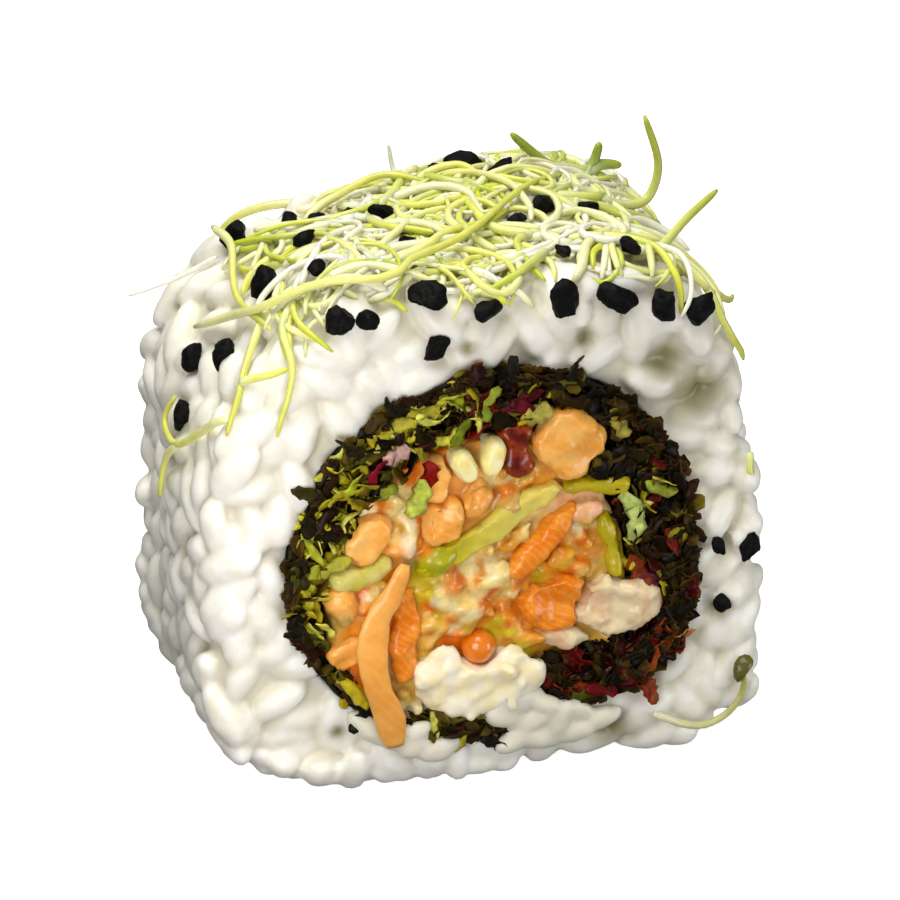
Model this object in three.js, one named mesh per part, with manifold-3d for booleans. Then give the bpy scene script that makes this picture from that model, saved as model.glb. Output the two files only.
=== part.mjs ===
// One cut piece of an inside-out sushi roll (uramaki), at its real size in millimetres.
// It lies on its flattened rice side. The roll's axis runs along Y and the cut face that is seen looks
// towards -Y. +Z is up, and the origin is the middle of the flat underside.
// From the outside in: a coat of sticky rice, a sheet of dry seaweed, a layer of chopped salad leaves, and a
// chopped salmon filling with larger pieces in it. A tangle of leek sprouts with their black seed husks
// lies on top.
import * as THREE from "three";
import { mergeVertices } from "three/addons/utils/BufferGeometryUtils.js";
import Module from "manifold-3d";

const wasm = await Module();
wasm.setup();

// The roll
const WIDTH = 44.5;
const HEIGHT = 41;
const LENGTH = 25;
const TOP_CORNER = 15;
const BASE_CORNER = 8;
const CUT_ROUNDING = 2.5;
const HALF = LENGTH / 2;
const GAP = 0.3;
const BEYOND = HALF + 5;

// How far hand pressing has left the skin proud or low, and where it is pressed in: u and v on the skin, how
// wide and how deep
const LUMP = 0.3;
const DENTS = [[28, -11, 7, 1.7]];

// The bore through the rice, which the seaweed lines, and the layers inside it
const BORE = { x: -0.2, z: 18.8, rx: 16.2, rz: 15.6 };
const SEAWEED_THICKNESS = 0.5;
const SEAWEED_CRINKLE = 0.12;
const CORE = { x: -1.1, z: 16, rx: 12.2, rz: 12.9 };
const LEAF_RECESS = 0.4;
const CORE_RECESS = 0.7;
const PROUD = 0.3;

// Cooked short-grain rice, a sprout's stem and a seed husk
const GRAIN_LENGTH = 6.2;
const GRAIN_WIDTH = 2.9;
const GRAIN_PITCH = 6.4;
const GRAIN_SINK = 0.45;
const STEM_RADIUS = 0.5;
const SEED_LENGTH = 2.7;
const SEED_WIDTH = 1.9;

// The pad of tangled sprouts: its edges on the roll's skin, and its thickness
const PAD = { left: -18, right: 17, low: 0.55, high: 1.5 };
const PAD_ROWS = [-12.2, -11.2, -9.8, -5, 0, 5, 9.8, 11.2, 12];
const SLIVER = 0.03;
const TOUCH = 1e-4;

const ROUND_START = HALF - CUT_ROUNDING;
const FACE_START = ROUND_START + (CUT_ROUNDING * Math.PI) / 2;
const TOP_FLAT = WIDTH / 2 - TOP_CORNER;
const TOP_ARC = (TOP_CORNER * Math.PI) / 2;
const SIDE_FLAT = HEIGHT - TOP_CORNER - BASE_CORNER;
const BASE_ARC = (BASE_CORNER * Math.PI) / 2;
const BASE_FLAT = WIDTH / 2 - BASE_CORNER;
const AROUND = 2 * (TOP_FLAT + TOP_ARC + SIDE_FLAT + BASE_ARC + BASE_FLAT);

// A repeatable draw from 0 to 1.
function dice(seed) {
  let state = seed;
  return () => {
    state = (state * 16807) % 2147483647;
    return state / 2147483647;
  };
}

// The roll's outline u millimetres round from the middle of its top, positive towards +X.
function outline(u) {
  const side = Math.sign(u) || 1;
  const at = (x, z, nx, nz) => ({ x: side * x, z, nx: side * nx, nz });
  const pastFlat = Math.abs(u) - TOP_FLAT;
  const pastTop = pastFlat - TOP_ARC;
  const pastSide = pastTop - SIDE_FLAT;
  if (pastFlat < 0) return at(Math.abs(u), HEIGHT, 0, 1);
  if (pastTop < 0) {
    const [nx, nz] = [Math.sin(pastFlat / TOP_CORNER), Math.cos(pastFlat / TOP_CORNER)];
    return at(TOP_FLAT + TOP_CORNER * nx, HEIGHT - TOP_CORNER + TOP_CORNER * nz, nx, nz);
  }
  if (pastSide < 0) return at(WIDTH / 2, HEIGHT - TOP_CORNER - pastTop, 1, 0);
  if (pastSide < BASE_ARC) {
    const [nx, nz] = [Math.cos(pastSide / BASE_CORNER), -Math.sin(pastSide / BASE_CORNER)];
    return at(BASE_FLAT + BASE_CORNER * nx, BASE_CORNER + BASE_CORNER * nz, nx, nz);
  }
  return at(Math.max(0, AROUND / 2 - Math.abs(u)), 0, 0, -1);
}

// How proud the skin is there. The underside and the cut faces stay flat.
function lump(u, v, z, turn) {
  const round = (2 * Math.PI * u) / AROUND;
  const wave = Math.sin(3 * round + 0.8) + Math.sin(7 * round + v / 6) + Math.sin(5 * round - v / 4 + 2);
  return (LUMP * wave * Math.min(1, z / 5) - dent(u, v)) * (1 - turn / (Math.PI / 2));
}

function dent(u, v) {
  const depth = ([atU, atV, wide, deep]) => deep * Math.exp(-((u - atU) ** 2 + (v - atV) ** 2) / wide ** 2);
  return DENTS.reduce((sum, place) => sum + depth(place), 0);
}

// The point h above the roll's skin, and its normal. v runs along the roll from its middle, positive to the
// back, then over the rounded cut edge and inwards on the cut face.
function skin(u, v, h) {
  const o = outline(u);
  const end = Math.sign(v) || 1;
  const along = Math.abs(v);
  const turn = Math.min(Math.max((along - ROUND_START) / CUT_ROUNDING, 0), Math.PI / 2);
  const inwards = Math.max(along - FACE_START, 0) + CUT_ROUNDING;
  const normal = new THREE.Vector3(o.nx * Math.cos(turn), end * Math.sin(turn), o.nz * Math.cos(turn));
  const y = end * Math.min(along, ROUND_START);
  const point = new THREE.Vector3(o.x - o.nx * inwards, y, o.z - o.nz * inwards);
  point.addScaledVector(normal, CUT_ROUNDING + h + lump(u, v, o.z, turn));
  return { point, normal };
}

// A closed three.js geometry as a solid.
function solid(geometry) {
  const bare = geometry.clone();
  bare.deleteAttribute("normal");
  bare.deleteAttribute("uv");
  const merged = mergeVertices(bare, TOUCH);
  const vertProperties = new Float32Array(merged.attributes.position.array);
  const triVerts = new Uint32Array(merged.index.array);
  return new wasm.Manifold(new wasm.Mesh({ numProp: 3, vertProperties, triVerts }));
}

// A solid as a named mesh in its colour.
function part(name, made, color, roughness) {
  const mesh = largest(made.simplify(SLIVER)).getMesh();
  const geometry = new THREE.BufferGeometry();
  geometry.setAttribute("position", new THREE.BufferAttribute(mesh.vertProperties, 3));
  geometry.setIndex(new THREE.BufferAttribute(mesh.triVerts, 1));
  geometry.computeVertexNormals();
  const shown = new THREE.Mesh(geometry, new THREE.MeshStandardMaterial({ color, roughness, metalness: 0 }));
  shown.name = name;
  return shown;
}

// What is above the plate that the roll lies on.
function aboveFloor(made) {
  const floor = new THREE.BoxGeometry(2 * WIDTH, 2 * WIDTH, 10).translate(0, 0, -5);
  return made.subtract(solid(floor));
}

// The largest of the bodies that a cut has left.
function largest(made) {
  return made.decompose().sort((a, b) => b.volume() - a.volume())[0];
}

function meets(a, b) {
  return a.intersect(b).volume() > TOUCH;
}

// Rings of points joined into a closed tube. With caps its first and last ring are filled, and without
// them the last ring joins the first.
function loft(rings, caps) {
  const count = rings[0].length;
  const positions = rings.flat().flatMap((p) => [p.x, p.y, p.z]);
  const index = [];
  const bands = caps ? rings.length - 1 : rings.length;
  for (let r = 0; r < bands; r++) {
    for (let k = 0; k < count; k++) {
      const a = r * count + k;
      const b = r * count + ((k + 1) % count);
      const c = ((r + 1) % rings.length) * count + k;
      const d = ((r + 1) % rings.length) * count + ((k + 1) % count);
      index.push(a, b, d, a, d, c);
    }
  }
  if (caps) {
    const last = (rings.length - 1) * count;
    for (let k = 1; k < count - 1; k++) {
      index.push(0, k + 1, k, last, last + k, last + k + 1);
    }
  }
  const geometry = new THREE.BufferGeometry();
  geometry.setAttribute("position", new THREE.Float32BufferAttribute(positions, 3));
  geometry.setIndex(index);
  const made = solid(geometry);
  return made.volume() > 0 ? made : solid(turned(geometry));
}

// The geometry with its faces the other way out.
function turned(geometry) {
  const index = geometry.index.array.slice();
  for (let i = 0; i < index.length; i += 3) {
    [index[i + 1], index[i + 2]] = [index[i + 2], index[i + 1]];
  }
  return geometry.clone().setIndex(new THREE.BufferAttribute(index, 1));
}

// Points round an ellipse in the cut plane, and a plug of that section which reaches as far to both sides.
function ellipse({ x, z, rx, rz }, grow, sides) {
  const points = [];
  for (let k = 0; k < sides; k++) {
    const turn = (2 * Math.PI * k) / sides;
    points.push({ x: x + (rx + grow) * Math.cos(turn), z: z + (rz + grow) * Math.sin(turn) });
  }
  return points;
}

function plug(section, grow, reach, sides = 40) {
  const points = ellipse(section, grow, sides);
  return loft([-reach, reach].map((y) => points.map((p) => new THREE.Vector3(p.x, y, p.z))), true);
}

// The pressed rice under its grains, grown outwards by h and still without its bore.
function riceCore(h) {
  const sides = 40;
  const stations = [-FACE_START, -(ROUND_START + FACE_START) / 2, -ROUND_START];
  stations.push(...stations.map((v) => -v).reverse());
  const rings = stations.map((v) => {
    const ring = [];
    for (let k = 0; k < sides; k++) {
      const { point } = skin(AROUND * (k / sides - 0.5), v, h);
      ring.push(point.setZ(Math.max(point.z, 0)));
    }
    return ring;
  });
  return loft(rings, true);
}

// A grain, seed or chip with few sides: its long axis lies on the skin, turned by spin.
function scattered(geometry, size, place, spin, tilt) {
  const { point, normal } = place;
  const shape = geometry.clone().scale(size.x, size.y, size.z);
  shape.rotateX(tilt).rotateZ(spin);
  const upright = new THREE.Quaternion().setFromUnitVectors(new THREE.Vector3(0, 0, 1), normal);
  shape.applyQuaternion(upright).translate(point.x, point.y, point.z);
  return solid(shape);
}

// The places of the grains: rows round the skin, and two staggered rings on each cut face.
function grainPlaces() {
  const draw = dice(4021);
  const places = [];
  const jitter = () => (draw() - 0.5) * 2;
  const columns = Math.round(AROUND / GRAIN_PITCH);
  const rows = Math.round(LENGTH / GRAIN_PITCH) + 1;
  for (let row = 0; row < rows; row++) {
    for (let column = 0; column < columns; column++) {
      const u = AROUND * ((column + (row % 2) / 2) / columns - 0.5) + jitter();
      const v = (row / (rows - 1) - 0.5) * 2 * (HALF - 1) + jitter() * 0.8;
      places.push({ u, v, spin: draw() * Math.PI, tilt: jitter() * 0.2, size: 0.9 + draw() * 0.2 });
    }
  }
  for (const end of [-1, 1]) {
    for (let column = 0; column < columns; column++) {
      const u = AROUND * (column / columns - 0.5) + jitter();
      const v = end * (FACE_START + (column % 2 ? 1.6 : -0.2) + jitter() * 0.4);
      places.push({ u, v, spin: draw() * Math.PI, tilt: jitter() * 0.2, size: 0.85 + draw() * 0.2 });
    }
  }
  return places;
}

// A sprout's stem through points given as [u, v, h] on the skin, or as [x, y, z] when it stands free.
function stem(points, free, sides = 4) {
  const route = new THREE.CatmullRomCurve3(points.map((p) => new THREE.Vector3(...p)));
  const steps = Math.max(3, Math.round(route.getLength() / 3));
  const centres = route.getSpacedPoints(steps).map((p) => (free ? p : skin(p.x, p.y, p.z).point));
  const line = new THREE.CatmullRomCurve3(centres);
  const frames = line.computeFrenetFrames(steps, false);
  const rings = centres.map((centre, i) => {
    const ring = [];
    for (let k = 0; k < sides; k++) {
      const turn = (2 * Math.PI * k) / sides;
      const across = frames.normals[i].clone().multiplyScalar(Math.cos(turn) * STEM_RADIUS);
      across.addScaledVector(frames.binormals[i], Math.sin(turn) * STEM_RADIUS);
      ring.push(centre.clone().add(across));
    }
    return ring;
  });
  return loft(rings, true);
}

// The stems that stand out in the tangle, draped on the skin
const DRAPED = [
  [[-14.5, -7.5, 1], [-17.5, -9.8, 1], [-20.2, -11.8, 0.95], [-24, -13, 0.9]],
  [[-13, -8.5, 1], [-16.6, -11.5, 1], [-18.7, -13.6, 0.95], [-23, -15.4, 0.9]],
  [[-20.6, -11.6, 1], [-18.8, -12.2, 1.2], [-17.2, -12.4, 1]],
  [[-21.5, 0.9, 1], [-18.6, -3.4, 1.4], [-15.4, -8.5, 2], [-8.6, -10.9, 2], [-5, -9.2, 2.3], [1.1, -4.9, 2.4],
    [10.7, 5.7, 1.4]],
  [[-22.8, -12.5, 0.95], [-25.4, -9.3, 0.9], [-29.1, -4.1, 0.9], [-28.8, -0.3, 0.9], [-26.5, -1, 0.9]],
  [[-29, -4.4, 0.9], [-31, -2.4, 0.9], [-34.3, -1.9, 0.9]],
  [[-10, 5.4, 1.2], [-7.6, 6.1, 2.3], [-3.3, 7.3, 2.7], [0.4, 5.8, 1.2]],
  [[-16, 8, 2.4], [-15.7, 4.2, 2], [-17.4, -2.8, 1.7], [-16.8, -9.7, 1.1]],
  [[15, -8, 1.1], [18.5, -11.3, 1], [22.5, -12.4, 0.9], [27, -13.6, 0.9], [31, -13.9, 0.9], [34, -13, 0.9]],
  [[9, 9, 1.2], [14, 11.5, 1.1], [20, 12.5, 0.95], [25, 13.5, 0.9]],
  [[-9, 10, 1.2], [-14, 12, 1.1], [-19, 14.4, 0.95], [-22, 15.2, 0.9]],
];

// A stem that has dropped to the foot of the roll at its lower right
const FALLEN = [[63, -15.4, 1], [60.5, -14.2, 1], [57, -13.2, 1.05], [53.6, -13, 1.05], [50.6, -13.6, 1]];

// The stems that stand up off it, as [x, y, z]
const STANDING = [
  [[12.5, 2, 41.2], [15.5, 3.2, 39.9], [17.6, 4, 40], [18.4, 4, 42.8], [17.2, 4, 46.9]],
  [[14.5, 8.2, 39.8], [12.8, 8, 40.9], [10.7, 8, 42], [9.2, 8, 43.4], [7.6, 8, 45]],
  [[13.2, 7, 40.4], [14.3, 8, 41.5], [14.9, 8, 43.4]],
  [[13.6, 7.6, 40.8], [15, 8, 41.5], [16.7, 8, 41.3]],
  [[11.8, -9.3, 41], [14.4, -8, 41], [17.2, -6, 42.2], [20.4, -4, 43.4]],
  [[-1.6, 6.5, 42.2], [-2, 8, 43.2], [-2.3, 8.3, 45.6]],
  [[-16.6, 6.5, 38.2], [-19.4, 7.6, 36.4], [-23.2, 8.5, 34.9]],
];

// Seed husks as [u, v, size]: those in the tangle, and those that lie straight on the rice
const SEEDS_IN_SPROUTS = [
  [-15, 6.5, 1.25], [-11, 5, 0.9], [-9.5, 3.6, 0.8], [-7, 3.4, 0.95], [-4.6, 2.2, 0.95], [-11.2, 0, 0.9],
  [-15.4, -3, 1.2], [-11.8, -6.2, 0.8], [-12.3, -10.6, 1.15], [-4.4, -4.2, 0.8], [-2.4, -4.4, 0.6],
  [-5.3, -11.2, 1.3], [4.3, 9.8, 1.1], [1.7, 9.4, 0.7], [6.6, 7.8, 1.1], [7.3, -0.4, 1], [4.8, -2.4, 0.8],
  [10.8, -1, 0.9], [6.1, -9.2, 0.7], [11.6, -8.8, 0.9], [9, -11.3, 1.25], [13.7, -11.2, 1.2],
  [16.4, -10.4, 1.2], [-7, 10.4, 1], [11.5, 9.8, 1], [-10.3, -12, 0.8], [-0.9, -12.3, 1], [4.7, -12.4, 1.25],
];
const SEEDS_ON_RICE = [
  [-4.9, -15.2, 1], [-23.2, -0.6, 1.1], [-21.3, -5.2, 1.2], [-26, -5, 1.1], [39.3, -15.7, 0.6],
  [39.9, -13.3, 0.9], [44.4, -15.3, 0.7], [22.5, 3, 1], [27, 9, 0.9], [30, -3, 1], [3, 15.5, 1],
  [-13, 17, 0.8], [33, 2, 0.8],
];

// The tangle: a pad with the stems and husks fused to it. Besides the stems above it has shorter ones, which
// mostly run from the front left to the back right, as the handful was laid down.
const SHORT_STEMS = 11;
const STEM_STEP = 4.2;

function sprouts() {
  const draw = dice(7717);
  const stems = DRAPED.map((points) => stem(points, false));
  stems.push(...STANDING.map((points) => stem(points, true)));
  for (let n = 0; n < SHORT_STEMS; n++) {
    let u = PAD.left + 3 + draw() * (PAD.right - PAD.left - 8);
    let v = -9 + draw() * 17;
    let heading = 0.45 + (draw() - 0.5) * 2.2;
    const bend = (draw() - 0.5) * 0.7;
    const lift = 1 + draw() * 0.9;
    const points = [];
    for (let step = 0; step < 4; step++) {
      points.push([u, v, PAD.high - 0.2 + lift * Math.sin((Math.PI * step) / 3)]);
      u += STEM_STEP * Math.cos(heading);
      v += STEM_STEP * Math.sin(heading);
      heading += bend;
    }
    stems.push(stem(points.filter((p) => Math.abs(p[1]) < FACE_START), false, 3));
  }
  const husks = SEEDS_IN_SPROUTS.map((seed) => husk(seed, PAD.high + 0.1, draw() * Math.PI));
  const rice = riceCore(GAP);
  const laid = [pad(), ...stems, ...husks].map((piece) => (meets(piece, rice) ? piece.subtract(rice) : piece));
  return largest(wasm.Manifold.union(laid).simplify(2 * SLIVER));
}

// A wavy sheet over the top of the roll, which holds the stems together.
function pad() {
  const across = 12;
  const last = PAD_ROWS.length - 1;
  const at = (i, j, high) => {
    const ragged = j === 0 || j === last ? 0.7 * Math.sin(2.3 * i + 1.7 * j) : 0;
    const u = PAD.left + ((PAD.right - PAD.left) * i) / across;
    const rim = i === 0 || j === 0 || i === across || j === last;
    const thick = rim ? 0.5 : PAD.high - PAD.low + 0.35 * Math.sin(1.9 * i - 2.6 * j);
    return skin(u, PAD_ROWS[j] + ragged, PAD.low + (high ? thick : 0)).point;
  };
  const rings = PAD_ROWS.map((_, j) => {
    const ring = [];
    for (let i = 0; i <= across; i++) ring.push(at(i, j, true));
    for (let i = across; i >= 0; i--) ring.push(at(i, j, false));
    return ring;
  });
  return loft(rings, true);
}

function husk([u, v, size], h, spin) {
  const shape = { x: (SEED_WIDTH / 2) * size, y: (SEED_LENGTH / 2) * size, z: (SEED_WIDTH / 2.4) * size };
  return scattered(new THREE.OctahedronGeometry(1, 0), shape, skin(u, v, h), spin, 0.3);
}

// The coat of rice: grains half sunk in the core, left out where toppings or the bore are.
function rice(toppings) {
  const draw = dice(911);
  const shape = new THREE.SphereGeometry(1, 4, 3);
  const kept = [];
  const grain = ({ u, v, spin, tilt, size }, grow) => {
    const half = { x: GRAIN_WIDTH / 1.9, y: GRAIN_LENGTH / 2, z: GRAIN_WIDTH / 2 };
    const scale = { x: half.x * size + grow, y: half.y * size + grow, z: half.z * size + grow };
    return scattered(shape, scale, skin(u, v, -GRAIN_SINK), spin, tilt);
  };
  const seeds = SEEDS_ON_RICE.map((seed) => husk(seed, 0.5, draw() * Math.PI));
  for (const place of grainPlaces()) {
    const wide = grain(place, GAP);
    const clear = toppings.every((other) => !meets(wide, other));
    if (clear && wide.boundingBox().max[2] > 1.5) kept.push(grain(place, 0));
  }
  const made = wasm.Manifold.union([riceCore(0), ...kept, ...seeds]);
  return largest(aboveFloor(made).subtract(plug(BORE, 0, BEYOND)));
}

// The seaweed: a thin tube whose cut edges are ragged.
function seaweed() {
  const sides = 44;
  const ring = (grow, end) => {
    const points = ellipse(BORE, grow, sides);
    return points.map((p, k) => {
      const out = SEAWEED_CRINKLE * Math.sin(k * 2.4);
      const turn = (2 * Math.PI * k) / sides;
      const y = end * (HALF + 0.15 + 0.3 * Math.sin(k * 1.9 + end));
      return new THREE.Vector3(p.x + out * Math.cos(turn), y, p.z + out * Math.sin(turn));
    });
  };
  const outside = -GAP - SEAWEED_CRINKLE;
  const inside = outside - SEAWEED_THICKNESS;
  return loft([ring(outside, -1), ring(outside, 1), ring(inside, 1), ring(inside, -1)], false);
}

const LINING = -2 * GAP - 2 * SEAWEED_CRINKLE - SEAWEED_THICKNESS;

// One larger piece of the filling, as a prism with softened ends and eight sides.
function morsel([, x, z, long, wide, turn, front, back], grow) {
  const sides = 8;
  const soft = 0.6;
  const angle = (turn * Math.PI) / 180;
  const first = -HALF - front - grow;
  const last = back + grow;
  const ring = (inset, y) => {
    const points = [];
    for (let k = 0; k < sides; k++) {
      const t = (2 * Math.PI * (k + 0.5)) / sides;
      // A squarish ellipse, so that the piece looks cut with a knife
      const a = Math.sign(Math.cos(t)) * Math.abs(Math.cos(t)) ** 0.7 * (long + grow - inset);
      const b = Math.sign(Math.sin(t)) * Math.abs(Math.sin(t)) ** 0.7 * (wide + grow - inset);
      const px = x + a * Math.cos(angle) - b * Math.sin(angle);
      points.push(new THREE.Vector3(px, y, z + a * Math.sin(angle) + b * Math.cos(angle)));
    }
    return points;
  };
  return loft([ring(soft / 2, first), ring(0, first + soft), ring(0, last - soft), ring(soft / 2, last)], true);
}

// The pieces that can be told apart at the cut, the foremost first. Each has its name, the x and z of its
// middle, its half length and half width in the cut plane, its turn there in degrees, how far it stands out of
// the cut, where it ends at the back, and its colour. Those that end at THROUGH go on to the other cut.
const THROUGH = HALF + PROUD;
const SALMON = 0xf0a05a;
const AVOCADO = 0xc9c04e;
const PRAWN = 0xeccfae;
const KERNEL = 0xf6e3a4;
const MORSELS = [
  ["kernel_left", -2.6, 27.1, 1.5, 0.95, 118, 1.2, -9.5, KERNEL],
  ["kernel_right", -0.3, 27.5, 1.5, 0.95, 75, 1.2, -9.5, KERNEL],
  ["roe_ball", -1.3, 11.4, 1.35, 1.35, 0, 1, -10.5, 0xe8741a],
  ["avocado_strip_long", -0.5, 21.3, 6.8, 1.15, 29, 0.5, THROUGH, AVOCADO],
  ["salmon_upper", 5.8, 27.7, 3, 2.5, -38, 0.7, THROUGH, SALMON],
  ["avocado_strip_end", 8.2, 23.7, 2.7, 0.85, -6, 0.4, THROUGH, AVOCADO],
  ["salmon_slice", 3.9, 19.8, 3.9, 1, 46, 0.6, THROUGH, 0xee8a34],
  ["pepper_red", 1.9, 27.7, 2.3, 1.5, 100, 0.2, THROUGH, 0x8c1c10],
  ["salmon_bit_upper", -4.8, 26.1, 2, 1.5, 80, 0.5, -6, SALMON],
  ["salmon_bit_middle", -4.2, 22.4, 2, 1.5, 80, 0.7, -6, SALMON],
  ["salmon_bit_inner", -1.3, 23.9, 1.6, 1.3, 60, 0.3, -6, SALMON],
  ["salmon_left", -10, 21.8, 2.3, 1.6, 50, 0.6, THROUGH, SALMON],
  ["avocado_strip_left", -10.7, 19, 2.5, 1, 14, 0.4, THROUGH, AVOCADO],
  ["avocado_strip_right", 9.2, 18.7, 2.9, 0.85, -82, 0.4, THROUGH, AVOCADO],
  ["prawn_chunk", 9.6, 13.3, 3.1, 2.3, -20, 0.8, THROUGH, PRAWN],
  ["salmon_right", 4.7, 14.4, 2.5, 2.2, 10, 0.7, THROUGH, SALMON],
  ["prawn_edge", 5.3, 11.2, 2.8, 0.8, -8, 0.3, THROUGH, PRAWN],
  ["cream_cheese", -1.8, 8.9, 4.6, 2.4, -8, 0.8, THROUGH, 0xf4ead0],
  ["salmon_low", -7.1, 13.3, 4, 1.2, 88, 0.4, THROUGH, 0xe8762a],
  ["salmon_low_left", -11.8, 12.2, 1.8, 1.4, 20, 0.4, THROUGH, SALMON],
  ["salmon_far_left", -12.1, 16.6, 1.5, 1.2, 90, 0.4, THROUGH, SALMON],
  ["avocado_strip_low", -10.2, 9.8, 2.8, 0.7, -51, 0.5, THROUGH, AVOCADO],
];

// The carrot ribbon that hangs down over the front of the cut, its half width, and its back and front.
const RIBBON = [[-7.6, 20], [-8.4, 18], [-9.8, 15.9], [-10.4, 13.2], [-10, 10.3], [-9.2, 7.9], [-8.5, 4.7]];
const RIBBON_HALF = 1.15;
const RIBBON_BACK = -HALF - 1.25;
const RIBBON_THICKNESS = 0.8;

function ribbon(grow) {
  const route = new THREE.CatmullRomCurve3(RIBBON.map(([x, z]) => new THREE.Vector3(x, 0, z)));
  const steps = 10;
  const rings = route.getSpacedPoints(steps).map((p, i) => {
    const along = route.getTangentAt(i / steps);
    const side = new THREE.Vector3(along.z, 0, -along.x).multiplyScalar(RIBBON_HALF + grow);
    const tip = i === 0 ? -grow : i === steps ? grow : 0;
    const curl = 0.35 * Math.cos((i / steps) * 5);
    const back = RIBBON_BACK + grow + curl;
    const front = RIBBON_BACK - RIBBON_THICKNESS - grow + curl;
    const middle = p.clone().addScaledVector(along, tip);
    const corner = (sign, y) => middle.clone().addScaledVector(side, sign).setY(y);
    return [corner(-1, back), corner(1, back), corner(1, front), corner(-1, front)];
  });
  return loft(rings, true);
}

// The dark red leaf between the prawn and the seaweed at the lower right: a bent band along the lining.
function redLeaf(grow) {
  const steps = 9;
  const rings = [];
  for (let i = 0; i <= steps; i++) {
    const tip = i === 0 ? -grow : i === steps ? grow : 0;
    const turn = ((-80 + (62 * i) / steps) * Math.PI) / 180 + tip / BORE.rx;
    const thick = 0.5 + 1.5 * Math.sin((Math.PI * (i + 0.6)) / (steps + 1.2));
    const wave = 0.3 * Math.sin(i * 2.2);
    const at = (inset, y) => {
      const x = BORE.x + (BORE.rx + LINING - GAP - inset) * Math.cos(turn);
      return new THREE.Vector3(x, y, BORE.z + (BORE.rz + LINING - GAP - inset) * Math.sin(turn));
    };
    const front = -HALF - 0.4 - wave - grow;
    const back = HALF + 0.2 + wave + grow;
    rings.push([at(-grow, front), at(-grow, back), at(thick + grow, back), at(thick + grow, front)]);
  }
  return loft(rings, true);
}

// Small chips on both cut faces of a layer, between two ellipses.
function chips(seed, count, inner, outer, shape, size, sink) {
  const draw = dice(seed);
  const made = [];
  for (const end of [-1, 1]) {
    for (let n = 0; n < count; n++) {
      const turn = 2 * Math.PI * ((n + draw() * 0.8) / count);
      const share = Math.sqrt(0.05 + 0.95 * draw());
      const from = (a, b) => a + (b - a) * share;
      const x = from(inner.x + inner.rx * Math.cos(turn), outer.x + outer.rx * Math.cos(turn));
      const z = from(inner.z + inner.rz * Math.sin(turn), outer.z + outer.rz * Math.sin(turn));
      const point = new THREE.Vector3(x, end * (HALF - sink), z);
      const big = 0.75 + 0.5 * draw();
      const scale = { x: size.x * big, y: size.y * big, z: size.z * big };
      const place = { point, normal: new THREE.Vector3(0, end, 0) };
      made.push(scattered(shape, scale, place, draw() * Math.PI, (draw() - 0.5) * 1.4));
    }
  }
  return made;
}

// The number and half sizes of the chips on each cut face of the chopped mix and of the leaves
const BITS = { count: 9, size: { x: 1.1, y: 0.9, z: 0.8 } };
const FLAKES = { count: 34, size: { x: 0.9, y: 1.9, z: 1.1 } };

// Builds the layers in the bore: the pieces first, each cut clear of those before it, then what is left.
function filling() {
  const lining = { ...BORE, rx: BORE.rx + LINING, rz: BORE.rz + LINING };
  const inside = plug(lining, 0, BEYOND);
  const grown = [ribbon(GAP)];
  const made = [part("carrot_ribbon", ribbon(0), 0xe59a52, 0.5)];
  for (const piece of MORSELS) {
    const taken = wasm.Manifold.union(grown);
    const cut = largest(morsel(piece, 0).intersect(inside).subtract(taken));
    made.push(part(piece[0], cut, piece.at(-1), 0.4));
    grown.push(morsel(piece, GAP));
  }
  const leaf = redLeaf(0).intersect(inside).subtract(wasm.Manifold.union(grown));
  made.push(part("red_leaf", largest(leaf), 0x4a0d12, 0.5));
  grown.push(redLeaf(GAP));
  const taken = wasm.Manifold.union(grown);
  const cube = new THREE.BoxGeometry(2, 2, 2);
  const bits = chips(5209, BITS.count, { ...CORE, rx: 1, rz: 1 }, CORE, cube, BITS.size, CORE_RECESS);
  const bulk = plug(CORE, 0, HALF - CORE_RECESS, 32);
  const mix = wasm.Manifold.union([bulk, ...bits]).intersect(plug(CORE, 0, BEYOND, 32)).intersect(inside);
  made.push(part("chopped_salmon_mix", largest(mix.subtract(taken)), 0xf0b878, 0.4));
  const flake = new THREE.OctahedronGeometry(1, 0);
  const flakes = chips(3301, FLAKES.count, CORE, lining, flake, FLAKES.size, LEAF_RECESS);
  const layer = plug(lining, 0, HALF - LEAF_RECESS);
  const leaves = wasm.Manifold.union([layer, ...flakes]).intersect(inside);
  const clear = leaves.subtract(plug(CORE, GAP, BEYOND, 32)).subtract(taken);
  made.push(part("chopped_leaves", largest(clear), 0x3c4210, 0.5));
  return made;
}

const topping = sprouts();
const fallen = aboveFloor(stem(FALLEN, false).subtract(riceCore(GAP)));

const roll = new THREE.Group();
roll.add(part("rice", rice([topping, fallen, ribbon(0)]), 0xf1eddf, 0.5));
roll.add(part("seaweed", seaweed(), 0x15170d, 0.4));
roll.add(part("leek_sprouts", topping, 0xd6d878, 0.45));
roll.add(part("fallen_sprout", largest(fallen), 0x8f9440, 0.45));
roll.add(...filling());

export default roll;
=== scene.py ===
import math

import bmesh
import bpy
import numpy as np
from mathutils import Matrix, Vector, noise
from mathutils.bvhtree import BVHTree
from mathutils.kdtree import KDTree


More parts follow.
